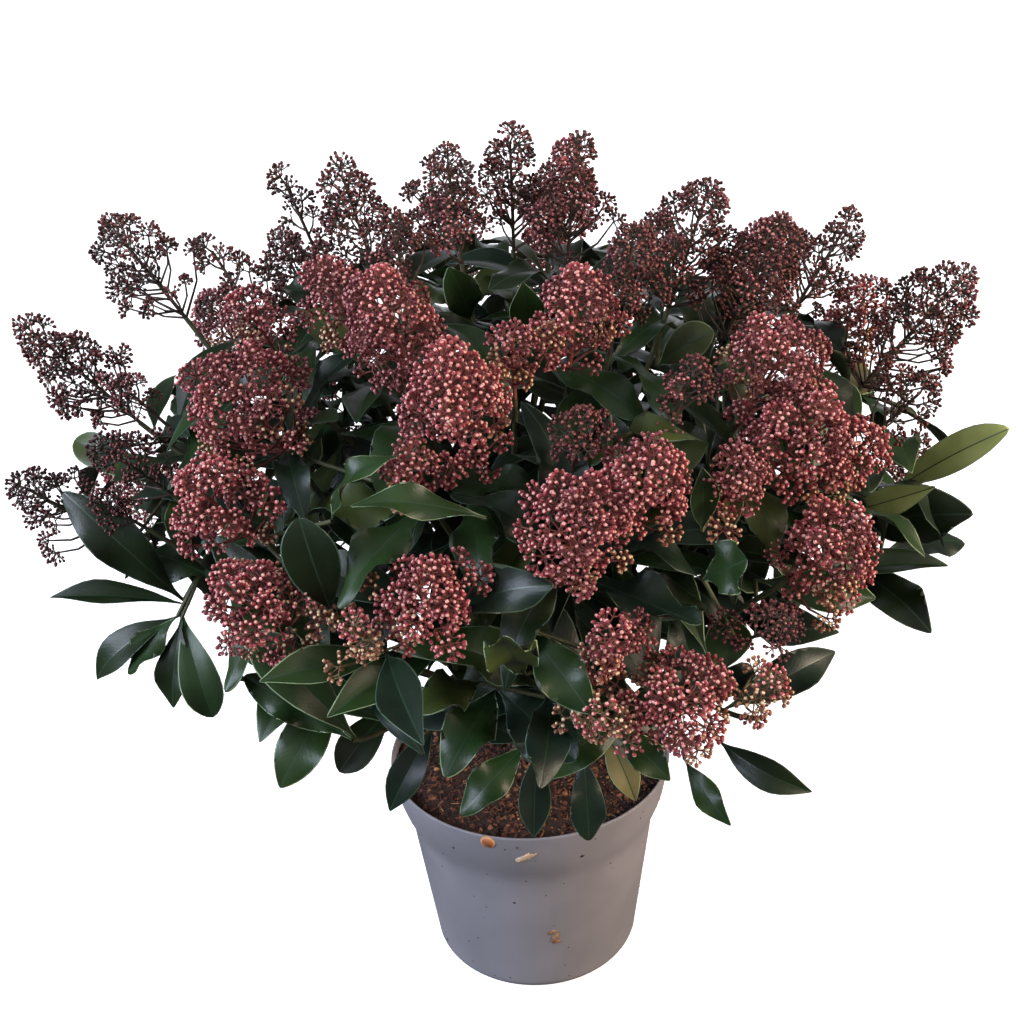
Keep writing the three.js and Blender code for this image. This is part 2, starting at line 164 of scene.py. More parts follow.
floor_shape = bmesh.new()
bmesh.ops.create_grid(floor_shape, x_segments=1, y_segments=1, size=ROOM_RADIUS)
floor = backdrop_of("floor", floor_shape)
floor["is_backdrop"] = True

dome_shape = bmesh.new()
bmesh.ops.create_uvsphere(dome_shape, u_segments=48, v_segments=24, radius=ROOM_RADIUS)
whole_ball = dome_shape.verts[:] + dome_shape.edges[:] + dome_shape.faces[:]
bmesh.ops.bisect_plane(dome_shape, geom=whole_ball, plane_co=UP * BELOW_FLOOR, plane_no=-UP, clear_outer=True)
bmesh.ops.reverse_faces(dome_shape, faces=dome_shape.faces)
dome = backdrop_of("dome", dome_shape)
dome.visible_shadow = False
dome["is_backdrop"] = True
print(f"stage: floor and dome {2 * ROOM_RADIUS:.0f} m wide")

# %% [markdown]
# ## Finishes
#
# Nothing on a plant has one flat colour, and no picture is needed for that: a noise texture that follows the
# object drifts between two tones in patches, and a finer one lifts the surface a little where light grazes
# it. One helper makes all finishes of this kind; what is special about a finish is added to it afterwards.

# %% Make the finishes


def finish_of(name, colour, other, patch, roughness, grain=900, lift=0.0001, **settings):
    """A finish that drifts from `colour` to `other` in patches, `patch` of them a metre.

    Its grain, `grain` a metre, raises the surface by `lift` metres.
    """
    material = bpy.data.materials.new(name)
    material.use_nodes = True
    nodes, links = material.node_tree.nodes, material.node_tree.links
    surface = nodes["Principled BSDF"]
    surface.inputs["Roughness"].default_value = roughness
    for socket, value in settings.items():
        surface.inputs[socket.replace("_", " ")].default_value = value
    place = nodes.new("ShaderNodeTexCoord")
    drift = nodes.new("ShaderNodeTexNoise")
    drift.inputs["Scale"].default_value = patch
    drift.inputs["Detail"].default_value = 3
    tones = nodes.new("ShaderNodeValToRGB")
    tones.color_ramp.elements[0].position, tones.color_ramp.elements[1].position = 0.36, 0.64
    tones.color_ramp.elements[0].color, tones.color_ramp.elements[1].color = shade(colour), shade(other)
    links.new(place.outputs["Object"], drift.inputs["Vector"])
    links.new(drift.outputs["Fac"], tones.inputs["Fac"])
    links.new(tones.outputs["Color"], surface.inputs["Base Color"])
    fine = nodes.new("ShaderNodeTexNoise")
    fine.name = "grain"
    fine.inputs["Scale"].default_value = grain
    fine.inputs["Detail"].default_value = 4
    bump = nodes.new("ShaderNodeBump")
    bump.name = "lift"
    bump.inputs["Distance"].default_value = lift
    links.new(place.outputs["Object"], fine.inputs["Vector"])
    links.new(fine.outputs["Fac"], bump.inputs["Height"])
    links.new(bump.outputs["Normal"], surface.inputs["Normal"])
    return material


for backdrop, name, glow in ((floor, "pale floor", 0.7), (dome, "white dome", 1.1)):
    lit = {"Emission_Color": shade("ffffff"), "Emission_Strength": glow}
    backdrop.data.materials.append(finish_of(name, "f6f6f6", "f2f2f2", 2, 0.9, **lit))
    print(f"{backdrop.name}: {name}, glows at {glow}")

# %% [markdown]
# The colours of the plant's parts stand together in tables, where they can be compared. Each tone has a pair,
# because its finish drifts between the two, and a bud has a third, paler one for its tip, which is partly the
# bud's own colour and partly a painted highlight.

# %% Choose the tones
LEAF_TONES = {
    "deep": ("1a2910", "121e0c"),
    "bluish": ("1a2c1e", "132018"),
    "middle": ("273e1b", "1c3014"),
    "olive": ("424e22", "303b1a"),
    "yellowing": ("c2c87c", "a2ad60"),
    "tawny": ("716b45", "5a5736"),
}
# The coral tone is partly painted light and the maroon and dark tones are partly painted shade: panicles in
# light and in shade get lighter and darker copies of the bud colour.
BUD_TONES = {  # body, its other tone, tip
    "coral": ("ad5054", "8a3c42", "e0a79d"),
    "rose": ("874147", "6c3037", "c08a83"),
    "maroon": ("5f2e2e", "472323", "814c46"),
    "dark": ("422526", "321c1e", "583432"),
    "cream": ("a06a52", "865242", "dcc49c"),
}
# The dusky stalks of the maroon and dark panicles are darker partly as painted shade.
STALK_TONES = {
    "coral": ("80463f", "663631"),
    "maroon": ("5e2f2e", "4a2624"),
    "green": ("7a6a48", "62503a"),
    "dusky": ("4a3b30", "382e26"),
}
print(f"tones: {len(LEAF_TONES)} for leaves, {len(BUD_TONES)} for buds, {len(STALK_TONES)} for stalks")

# %% [markdown]
# A leaf has a finish each for its blade, its edge, its midrib and its underside. Only the blade gets side
# veins. They could be modelled, but they hardly rise above the blade. A wave along the leaf's UV map makes
# them at no cost in points, and is sharp at any size.

# %% Mix the finishes
VEINS = {"waves": 60.0, "slant": 26.0, "sharpness": 6.0, "height": 0.22}


def leaf_finish(tone):
    """Glossy leather: side veins run out and forwards from the midrib, along the leaf's own UV map."""
    material = finish_of(f"leaf {tone}", *LEAF_TONES[tone], patch=32, roughness=0.41, grain=700,
                         Specular_IOR_Level=0.36)
    nodes, links = material.node_tree.nodes, material.node_tree.links
    across = nodes.new("ShaderNodeUVMap")
    across.uv_map = "leaf"
    parts = nodes.new("ShaderNodeSeparateXYZ")
    links.new(across.outputs["UV"], parts.inputs["Vector"])

    def result_of(operation, *values):
        """What a Math node makes of one or two values, each a number or another node's output."""
        step = nodes.new("ShaderNodeMath")
        step.operation = operation
        for socket, value in zip(step.inputs, values):
            if isinstance(value, float):
                socket.default_value = value
            else:
                links.new(value, socket)
        return step.outputs["Value"]

    from_midrib = result_of("ABSOLUTE", result_of("SUBTRACT", parts.outputs["X"], 0.5))
    forwards = result_of("MULTIPLY", parts.outputs["Y"], VEINS["waves"])
    outwards = result_of("MULTIPLY", from_midrib, VEINS["slant"])
    wave = result_of("SINE", result_of("SUBTRACT", forwards, outwards))
    veins = result_of("POWER", result_of("ABSOLUTE", wave), VEINS["sharpness"])
    raised = result_of("MULTIPLY", veins, VEINS["height"])
    links.new(result_of("ADD", nodes["grain"].outputs["Fac"], raised), nodes["lift"].inputs["Height"])
    return material


LEAF_FINISHES = [leaf_finish(tone) for tone in LEAF_TONES]
LEAF_FINISHES += [
    finish_of("dark margin", "4c6350", "3c5241", 60, 0.45),
    finish_of("light margin", "8fa57e", "76906a", 60, 0.45),
    finish_of("leaf midrib", "28402b", "213522", 60, 0.35),
    # The underside's tone is partly its own olive and partly painted shade, darker because this side faces
    # down into the crown.
    finish_of("leaf underside", "38432a", "2c3522", 40, 0.55),
]
DARK_MARGIN, LIGHT_MARGIN, MIDRIB, UNDERSIDE = range(len(LEAF_TONES), len(LEAF_TONES) + 4)
BUD_FINISHES = []
for tone, (body, other, tip) in BUD_TONES.items():
    BUD_FINISHES.append(finish_of(f"bud {tone}", body, other, 260, 0.52, Specular_IOR_Level=0.35))
    # The tip's pale finish is partly the bud's own paler tip and partly a painted highlight.
    BUD_FINISHES.append(finish_of(f"bud tip {tone}", tip, tip, 260, 0.5))
STALK_FINISHES = [finish_of(f"stalk {tone}", *pair, 120, 0.5) for tone, pair in STALK_TONES.items()]
STALK_FINISHES.append(finish_of("young shoot", "4f5334", "3b3d28", 90, 0.6, grain=500, lift=0.0002))
STALK_FINISHES.append(finish_of("bark", "5b4a38", "3c2f24", 120, 0.85, grain=350, lift=0.0006))
YOUNG_SHOOT, BARK = len(STALK_TONES), len(STALK_TONES) + 1
print(f"finishes: {len(LEAF_FINISHES)} for leaves, {len(BUD_FINISHES)} for buds, "
      f"{len(STALK_FINISHES)} for stalks and bark")

# %% [markdown]
# ## Pot
#
# A nursery pot is moulded as one thin turned shape: a wall that widens upwards, a wide band under the rim
# where pots grip when they are stacked, and a soft edge at the foot. It could be put together from cones, but
# the soft step below the band would be hard to reach. Half its section, spun once round, has it all.

# %% Draw the pot's section
POT = {
    "height": 152, "rim": 95, "band_foot": 90, "band_depth": 32, "shoulder": 82.5, "base": 71, "rounding": 10,
    "wall": 1.8,
}
BAND_STEP = [  # the soft step below the band: a width, how far out from it, how far above the band's foot
    ("shoulder", -0.4, -24), ("shoulder", 0.5, -16), ("shoulder", 2.1, -9),
    ("band_foot", -2.9, -3), ("band_foot", -0.7, 3), ("band_foot", 1.4, 10),
]
RIM_LIP = [(0.1, 0.7), (0.5, 0.15), (0.9, 0), (1.4, 0.15), (1.8, 0.8)]  # in from the rim, down from the top


def wall_section(inset, steps):
    """The pot's wall from the underside to just below the rim, as (radius, height), moved inwards."""
    rounding = POT["rounding"] - inset
    foot = POT["height"] - POT["band_depth"] + inset / 2
    corner = [math.pi / 2 * step / steps for step in range(steps + 1)]
    return [
        *((POT["base"] - POT["rounding"] + rounding * math.sin(a), POT["rounding"] - rounding * math.cos(a))
          for a in corner),
        *((POT[width] - inset + out, foot + rise) for width, out, rise in BAND_STEP),
        (POT["rim"] - inset, POT["height"] - 1.5),
    ]


print(f"pot: {2 * POT['rim']} mm across its rim, {POT['height']} mm high")

# %% [markdown]
# Spinning is one operator. What comes after it is the same for every piece of the plant: it gets its
# finishes and rides on the one body. So that is written once and serves all later pieces.
# Where a piece takes the place of solids of the frame, it says which.

# %% Spin the pot


def spun(section, turns, scale=MM):
    """A bmesh of the section (radius, height) spun once round the Z axis, closed and facing out."""
    shape = bmesh.new()
    corners = [shape.verts.new((radius * scale, 0, height * scale)) for radius, height in section]
    edges = [shape.edges.new(pair) for pair in zip(corners, corners[1:])]
    bmesh.ops.spin(shape, geom=corners + edges, cent=(0, 0, 0), axis=UP, angle=math.tau, steps=turns,
                   use_merge=True)
    bmesh.ops.remove_doubles(shape, verts=shape.verts, dist=scale / 1000)
    bmesh.ops.recalc_face_normals(shape, faces=shape.faces)
    return shape


def settle(name, mesh, finishes):
    """The mesh as a piece with its finishes, on the plant's one body."""
    for material in finishes:
        mesh.materials.append(material)
    piece = bpy.data.objects.new(name, mesh)
    bpy.context.scene.collection.objects.link(piece)
    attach(piece, "root")
    return piece


def piece_of(name, shape, finishes):
    """The bmesh as such a piece, shaded smooth."""
    mesh = bpy.data.meshes.new(name)
    shape.to_mesh(mesh)
    shape.free()
    mesh.shade_smooth()
    return settle(name, mesh, finishes)


rim_lip = [(POT["rim"] - inwards, POT["height"] - down) for inwards, down in RIM_LIP]
inner_side = reversed(wall_section(POT["wall"], 4))
pot_section = [(0, 0), *wall_section(0, 8), *rim_lip, *inner_side, (0, POT["wall"])]
pot_finish = finish_of("pot plastic", "8c898f", "7d7b80", 14, 0.55, grain=1500, lift=0.00004)
pot = piece_of("pot_turned", spun(pot_section, 128), [pot_finish])
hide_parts("pot")
print(f"pot: {len(pot.data.polygons)} faces")

# %% [markdown]
# ## Potting mix
#
# Peat is a heap of crumbs and fibres. A domed surface with a restless relief carries the eye from afar, and
# what makes it soil from nearby is loose matter on top: one crumb and one fibre, each copied more than a
# thousand times with its places, sizes and turns dealt out by chance. A copy is only the same points under
# another matrix, so all copies can be worked out at once as arrays and joined into one mesh.

# %% Helpers that copy a small shape many times


class Shape:
    """A small mesh to be copied: its points, triangles, finish numbers and UV places."""

    def __init__(self, shape, across=None, along=None):
        bmesh.ops.triangulate(shape, faces=shape.faces)
        shape.verts.index_update()
        self.points = np.array([vert.co for vert in shape.verts])
        self.faces = np.array([[vert.index for vert in face.verts] for face in shape.faces])
        self.finishes = np.array([face.material_index for face in shape.faces])
        self.places = None
        if across is not None:
            self.places = np.array([(vert[across], vert[along]) for vert in shape.verts])
        shape.free()


class Heap:
    """Copies of small shapes, gathered to become one mesh."""

    def __init__(self):
        self.points, self.faces, self.finishes, self.places = [], [], [], []
        self.count = self.triangles = 0

    def add(self, shape, matrices, finishes):
        """One copy for each 3x4 matrix (mm), with the shape's finish numbers looked up in its row."""
        copies = len(matrices)
        if not copies:
            return
        points = np.einsum("nij,pj->npi", matrices[:, :, :3], shape.points) + matrices[:, None, :, 3]
        starts = self.count + np.arange(copies) * len(shape.points)
        self.points.append(points.reshape(-1, 3))
        self.faces.append((shape.faces[None] + starts[:, None, None]).reshape(-1, 3))
        self.finishes.append(np.asarray(finishes)[:, shape.finishes].reshape(-1))
        if shape.places is not None:
            self.places.append(np.tile(shape.places[shape.faces.reshape(-1)], (copies, 1)))
        self.count += copies * len(shape.points)
        self.triangles += copies * len(shape.faces)

    def mesh(self, name):
        """All copies as one smooth mesh in metres, with the places as a UV map if the shapes have them."""
        mesh = bpy.data.meshes.new(name)
        faces = np.concatenate(self.faces)
        mesh.vertices.add(self.count)
        mesh.vertices.foreach_set("co", (np.concatenate(self.points) * MM).astype(np.float32).ravel())
        mesh.loops.add(faces.size)
        mesh.loops.foreach_set("vertex_index", faces.ravel().astype(np.int32))
        mesh.polygons.add(len(faces))
        mesh.polygons.foreach_set("loop_start", np.arange(0, faces.size, 3, dtype=np.int32))
        mesh.polygons.foreach_set("material_index", np.concatenate(self.finishes).astype(np.int32))
        mesh.polygons.foreach_set("use_smooth", np.full(len(faces), True))
        if self.places:
            layer = mesh.uv_layers.new(name="leaf")
            layer.data.foreach_set("uv", np.concatenate(self.places).astype(np.float32).ravel())
        mesh.update(calc_edges=True)
        return mesh


print("copies: a Shape is what is copied, a Heap gathers its copies")

# %% [markdown]
# A copy's matrix says where it stands, which way it points and how wide it is. It could be built from three
# angles, but most copies here are known by a start and an axis. Two directions at right angles to the axis
# complete the matrix, and arrays work them out for all copies at once.

# %% Stand the copies up


def unit(vectors):
    """Every vector at length 1."""
    return vectors / np.linalg.norm(vectors, axis=-1, keepdims=True)


def beside(axes):
    """A unit direction at right angles to an axis, or to each of several."""
    across = np.where(np.abs(unit(axes)[..., 2:3]) < 0.9, (0.0, 0.0, 1.0), (1.0, 0.0, 0.0))
    return unit(np.cross(across, axes))


def standing(starts, axes, widths):
    """Matrices that stand a shape at each start, as long as its axis and `widths` times as wide."""
    starts, axes = np.asarray(starts, float), np.asarray(axes, float)
    widths = np.broadcast_to(np.asarray(widths, float), (len(starts),))
    side = beside(axes)
    other = unit(np.cross(axes, side))
    return np.stack([side * widths[:, None], other * widths[:, None], axes, starts], axis=2)


def rod(sides, taper):
    """A rod of length 1 along Z that thins from radius 1 at its foot to `taper` at its end."""
    shape = bmesh.new()
    bmesh.ops.create_cone(shape, segments=sides, radius1=1, radius2=taper, depth=1)
    bmesh.ops.translate(shape, vec=(0, 0, 0.5), verts=shape.verts)
    return Shape(shape)


FIBRE = rod(3, 0.5)
print(f"fibre: {len(FIBRE.faces)} triangles")

# %% [markdown]
# The mix is spun as well. Its side follows the inside of the pot with a small gap, and its top is a flat dome
# in many rings. Noise then raises and lowers the points of the dome, and fades out just before the wall, so
# that the edge stays level.

# %% Lay the soil
# "edge" is the height of the mix at the wall, "flat" the radius of its level middle.
SOIL = {"radius": 91.0, "edge": 145, "rise": 5, "flat": 18, "inside": 2.6, "gap": 0.3}
SOIL_TOP = SOIL["edge"] + SOIL["rise"]
SOIL_TONES = [("35211a", "251610"), ("623b29", "482b1e"), ("8c5d3f", "6c452f"), ("ac825a", "8a6444")]
SOIL_FINISHES = [finish_of(f"peat {number}", *pair, 160, 0.95, grain=600, lift=0.0006)
                 for number, pair in enumerate(SOIL_TONES)]
CRUMB_WEIGHTS, FIBRE_WEIGHTS = (5, 6, 3, 0.5), (3, 6, 4, 0.6)  # how common each tone is


def soil_height(radius):
    """The height of the plain dome at this radius: level in the middle and lowest at the wall."""
    edge = POT["rim"] - POT["wall"] - SOIL["inside"]
    share = min(1, max(0, (edge - radius) / (edge - SOIL["flat"])))
    return SOIL["edge"] + SOIL["rise"] * math.sin(share * math.pi / 2)


def soil_relief(x, y):
    """How far the surface stands above its plain dome at a place, in mm."""
    return 1.8 * noise.noise((x / 9, y / 9, 0.5)) + 1.2 * noise.noise((x / 3.2, y / 3.2, 7.5))


soil_foot = POT["wall"] + SOIL["gap"]
inner_wall = [point for point in wall_section(soil_foot, 3) if point[1] < SOIL["edge"] - 4]
soil_rings = [(radius, soil_height(radius)) for radius in np.linspace(SOIL["radius"], 2, 40)]
soil_shape = spun([(0, soil_foot), *inner_wall, *soil_rings, (0, SOIL_TOP)], 96)
for vert in soil_shape.verts:
    x, y, z = vert.co / MM
    if z > SOIL["edge"] - 1:
        inwards = min(1, (SOIL["radius"] - math.hypot(x, y)) / 4)
        vert.co.z += soil_relief(x, y) * max(0, inwards) * MM
soil = piece_of("potting_mix_surface", soil_shape, SOIL_FINISHES[:1])
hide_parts("potting_mix")
print(f"potting mix: {len(soil.data.polygons)} faces")

# %% [markdown]
# The loose matter could be dealt out by a particle system. A few lines of chance say it more plainly: each
# crumb gets its size, its turn, its place on the relief and its tone, and each fibre its length as well.

# %% Strew crumbs and fibres


def crumb():
    """A lump of radius 1 or so: a ball whose points are drawn in and out by noise."""
    shape = bmesh.new()
    bmesh.ops.create_icosphere(shape, subdivisions=1, radius=1)
    for vert in shape.verts:
        vert.co *= 0.75 + 0.5 * noise.noise(vert.co * 2.3 + Vector((3, 1, 2)))
    return Shape(shape)


def strew_soil(crumbs, fibres):
    """The loose matter on top: so many crumbs, and so many fibres that lie almost flat."""
    dice = random.Random(5)
    heap = Heap()

    def somewhere():
        radius, angle = SOIL["radius"] * math.sqrt(dice.uniform(0.01, 0.97)), dice.uniform(0, math.tau)
        x, y = radius * math.cos(angle), radius * math.sin(angle)
        return x, y, soil_height(radius) + soil_relief(x, y) + 0.1

    matrices, finishes = [], []
    for _ in range(crumbs):
        size = dice.uniform(0.8, 1.7) if dice.random() < 0.7 else dice.uniform(1.7, 3.6)
        turned = Matrix.Rotation(dice.uniform(0, math.tau), 3, (dice.random(), dice.random(), 0.4))
        turned = np.array(turned @ Matrix.Diagonal((size, size * dice.uniform(0.5, 1), size * 0.6)))
        matrices.append(np.column_stack([turned, somewhere()]))
        finishes.append([dice.choices(range(len(SOIL_FINISHES)), CRUMB_WEIGHTS)[0]])
    heap.add(crumb(), np.array(matrices), finishes)
    starts, axes, widths, finishes = [], [], [], []
    for _ in range(fibres):
        angle, length = dice.uniform(0, math.tau), dice.uniform(2.5, 9)
        starts.append(somewhere())
        axes.append((length * math.cos(angle), length * math.sin(angle), length * dice.uniform(-0.08, 0.22)))
        widths.append(dice.uniform(0.3, 0.85))
        finishes.append([dice.choices(range(len(SOIL_FINISHES)), FIBRE_WEIGHTS)[0]])
    heap.add(FIBRE, standing(starts, axes, widths), finishes)
    return heap


soil_heap = strew_soil(crumbs=3600, fibres=1100)
settle("peat_crumbs_and_fibres", soil_heap.mesh("peat"), SOIL_FINISHES)
print(f"loose matter: {soil_heap.triangles} triangles")

# %% [markdown]
# ## Traces of the nursery
#
# A pot straight from the nursery is never clean. Splashes of peat have dried on the wall as fine specks, a
# splinter of wood and a few flakes of bark stick to it, and a small rusty disc sits at the rim. Painted on,
# they would be flat from the side, so each is a small body that is laid on the wall by its angle round the
# pot and its height. The specks are strewn by chance.

# %% Find places on the wall
DRIED_PEAT, RUST, PALE_WOOD, DISC_EDGE, BARK_FLAKE = range(5)
DISC = {"angle": -108, "height": 147, "radius": 5.2, "thick": 1.4}
CHIPS = [  # angle, height, length, width, thickness, slant, finish
    (-94, 135, 21, 7, 2.2, 34, PALE_WOOD),
    (-81.5, 52, 15, 6, 1.8, 72, BARK_FLAKE),
    (-83, 58, 9, 5, 1.8, 30, BARK_FLAKE),
    (-80.5, 48, 8, 5, 1.8, 10, BARK_FLAKE),
]
SPECKS = 120
TRACE_FINISHES = [
    finish_of("dried peat", "3d2c24", "2b1f1a", 300, 0.9),
    finish_of("rusty disc", "b06a3c", "96542e", 200, 0.7),
    finish_of("pale wood", "cdb59a", "a98c6e", 260, 0.75, grain=400, lift=0.0004),
    finish_of("pale disc edge", "d6a277", "c08a60", 200, 0.7),
    finish_of("bark flake", "9a7856", "6f5138", 500, 0.8, grain=400, lift=0.0004),
]


def wall_place(angle, height):
    """A point of the outer wall and the wall's directions there: round the pot, up along it, and outwards."""
    radii, heights = zip(*wall_section(0, 8))
    radius, radius_above = (float(np.interp(z, heights, radii)) for z in (height, height + 2))
    a = math.radians(angle)
    out = Vector((math.cos(a), math.sin(a), 0))
    upwards = (out * (radius_above - radius) + UP * 2).normalized()
    around = UP.cross(out)
    return out * radius + UP * height, around, upwards, around.cross(upwards)


def laid_on_wall(angle, height, size, slant=0.0):
    """The matrix that lays a unit shape on the wall with its X along the slant and its Z outwards."""
    place, around, upwards, out = wall_place(angle, height)
    slant = math.radians(slant)
    along = around * math.cos(slant) + upwards * math.sin(slant)
    return np.column_stack([along * size[0], out.cross(along) * size[1], out * size[2], place])


print(f"wall: {wall_place(0, DISC['height'])[0].x:.1f} mm from the middle where the disc sits")

# %% [markdown]
# Two small shapes are enough. The disc is a low cone with its tip cut off, laid down twice: a pale one, and a
# rusty one on it that is smaller and a little thicker. Chips and specks are one uneven ball, pressed flat.

# %% Soil the pot


def round_plate():
    """A disc of radius 1 and height 1 with a slanting edge."""
    shape = bmesh.new()
    bmesh.ops.create_cone(shape, cap_ends=True, segments=24, radius1=1, radius2=0.88, depth=1)
    return Shape(shape)


def chip():
    """An uneven chip about 1 long each way."""
    shape = bmesh.new()
    bmesh.ops.create_icosphere(shape, subdivisions=2, radius=0.5)
    for vert in shape.verts:
        vert.co *= 0.8 + 0.5 * noise.noise(vert.co * 3 + Vector((5, 2, 8)))
    return Shape(shape)


def strew_traces():
    """The disc, the chips and the specks, all laid on the wall."""
    dice = random.Random(11)
    heap = Heap()
    disc, lump = round_plate(), chip()
    for widened, finish in ((1.0, DISC_EDGE), (0.8, RUST)):
        size = (DISC["radius"] * widened, DISC["radius"] * widened, DISC["thick"] / widened)
        heap.add(disc, laid_on_wall(DISC["angle"], DISC["height"], size)[None], [[finish]])
    for angle, height, length, width, thick, slant, finish in CHIPS:
        heap.add(lump, laid_on_wall(angle, height, (length, width, thick), slant)[None], [[finish]])
    for _ in range(SPECKS):
        size = dice.uniform(0.7, 1.6) if dice.random() < 0.85 else dice.uniform(2, 3.6)
        place = dice.uniform(-180, 180), 6 + 136 * dice.random() ** 0.8
        matrix = laid_on_wall(*place, (size * 1.2, size, 0.5), dice.uniform(0, 90))
        heap.add(lump, matrix[None], [[DRIED_PEAT]])
    return heap


trace_heap = strew_traces()
settle("traces_of_peat_and_wood", trace_heap.mesh("traces"), TRACE_FINISHES)
print(f"traces: {trace_heap.triangles} triangles on the pot's wall")

# %% [markdown]
# ## The rule of the crown
#
# A crown like this is grown, not drawn. Every spray points away from one place low in the crown, and its
# shoots fan out round that direction. The same few functions serve all of them: a direction from two angles,
# a direction tilted away from another one, and a curve that leaves one point and arrives at another smoothly.

# %% Directions, chance and curves
CROWN_FOOT = Vector((0, 0, 175))
GOLDEN_ANGLE = 137.508


def heading(azimuth, lean):
    """The direction that leans so many degrees from upright, towards the azimuth."""
    a, lean = math.radians(azimuth), math.radians(lean)
    return Vector((math.sin(lean) * math.cos(a), math.sin(lean) * math.sin(a), math.cos(lean)))


def tilted(axis, angle, turn):
    """`axis` tilted by `angle` towards the side that `turn` gives, both in degrees."""
    side = UP.cross(axis).normalized()
    upright = axis.cross(side)
    angle, turn = math.radians(angle), math.radians(turn)
    return axis * math.cos(angle) + (upright * math.cos(turn) + side * math.sin(turn)) * math.sin(angle)


def chance(seed):
    """A number from 0 to 1 that looks like chance but always belongs to its seed."""
    value = math.sin(seed * 12.9898 + 4.1414) * 43758.5453
    return value - math.floor(value)


class Bend:
    """A smooth curve that leaves `start` along `outwards` and arrives at `stop` along `onwards`."""

    def __init__(self, start, outwards, stop, onwards):
        pull = (stop - start).length * 0.36
        self.knots = [start, start + outwards * pull, stop - onwards * pull, stop]
        places = [self.at(step / 24) for step in range(25)]
        self.length = sum((b - a).length for a, b in zip(places, places[1:]))

    def at(self, share):
        rest = 1 - share
        weights = (rest ** 3, 3 * rest * rest * share, 3 * rest * share * share, share ** 3)
        return sum((knot * weight for knot, weight in zip(self.knots, weights)), Vector())

    def along(self, share):
        return (self.at(min(1, share + 0.01)) - self.at(max(0, share - 0.01))).normalized()


print(f"crown's foot: {CROWN_FOOT.z:.0f} mm up")

# %% [markdown]
# The first table names every spray: where it points, how far out its buds are and how its shoots fan out.
# Sprays with a `parent` fork from another spray's bough. Where the shoots of a spray are known one by one,
# they have a row each below: azimuth, lean and distance from the crown's foot, then how thick and how long
# the panicle is, how many small side panicles hang below it, and its colour.

# %% The sprays and their panicles
SPRAYS = {  # name: (azimuth, lean, reach, shoots, fan, turn, parent)
    "top": (90, 2, 356, 3, 6.5, 90, None),
    "front_middle": (-78, 35, 328, 3, 4.4, -20, None),
    "left": (179, 39, 380, 2, 5.2, 5, None),
    "back": (92, 40, 340, 2, 8, 50, None),
    "right": (-3, 43.5, 364, 2, 4, 60, None),
    "front_left": (-149, 36, 344, 4, 7, 40, None),
    "back_left": (137, 39, 342, 3, 8, 20, None),
    "back_right": (50, 39, 346, 2, 7, 80, None),
    "right_front": (-46, 36, 336, 3, 4.4, 35, None),
    "top_left": (-147, 15.5, 354, 3, 6.5, -63, "top"),
    "top_right": (-60, 21, 348, 3, 6.2, -55, "top"),
    "top_back": (92, 21, 352, 2, 7, 80, "top"),
    "front_high": (-101, 27, 342, 3, 6, 45, "front_middle"),
    "front_low": (-71, 52, 292, 4, 6.5, 25, "front_middle"),
    "left_high": (173, 22, 360, 2, 5.5, 120, "left"),
    "left_low": (-169, 55, 340, 2, 4, -30, "left"),
    "front_low_left": (-114, 47, 309, 2, 8.4, 80, "front_left"),
    "left_front_low": (-148, 54, 245, 2, 7, 80, "front_left"),
    "right_low": (-49, 49, 313, 2, 4.4, 60, "right_front"),
    "high_right": (-5, 23.5, 348, 3, 6.8, -50, "right"),
    "right_front_low": (-18, 54, 258, 2, 7, 60, "right"),
    "right_back_low": (26, 59, 312, 2, 7, 40, "back_right"),
    "back_low_right": (66, 60, 300, 2, 8, 110, "back_right"),
    "back_low_left": (110, 60, 302, 2, 8, 75, "back_left"),
    "left_back_low": (151, 60, 318, 2, 7, -40, "back_left"),
    "right_back": (21, 37, 350, 2, 6.5, 10, "back_right"),
}
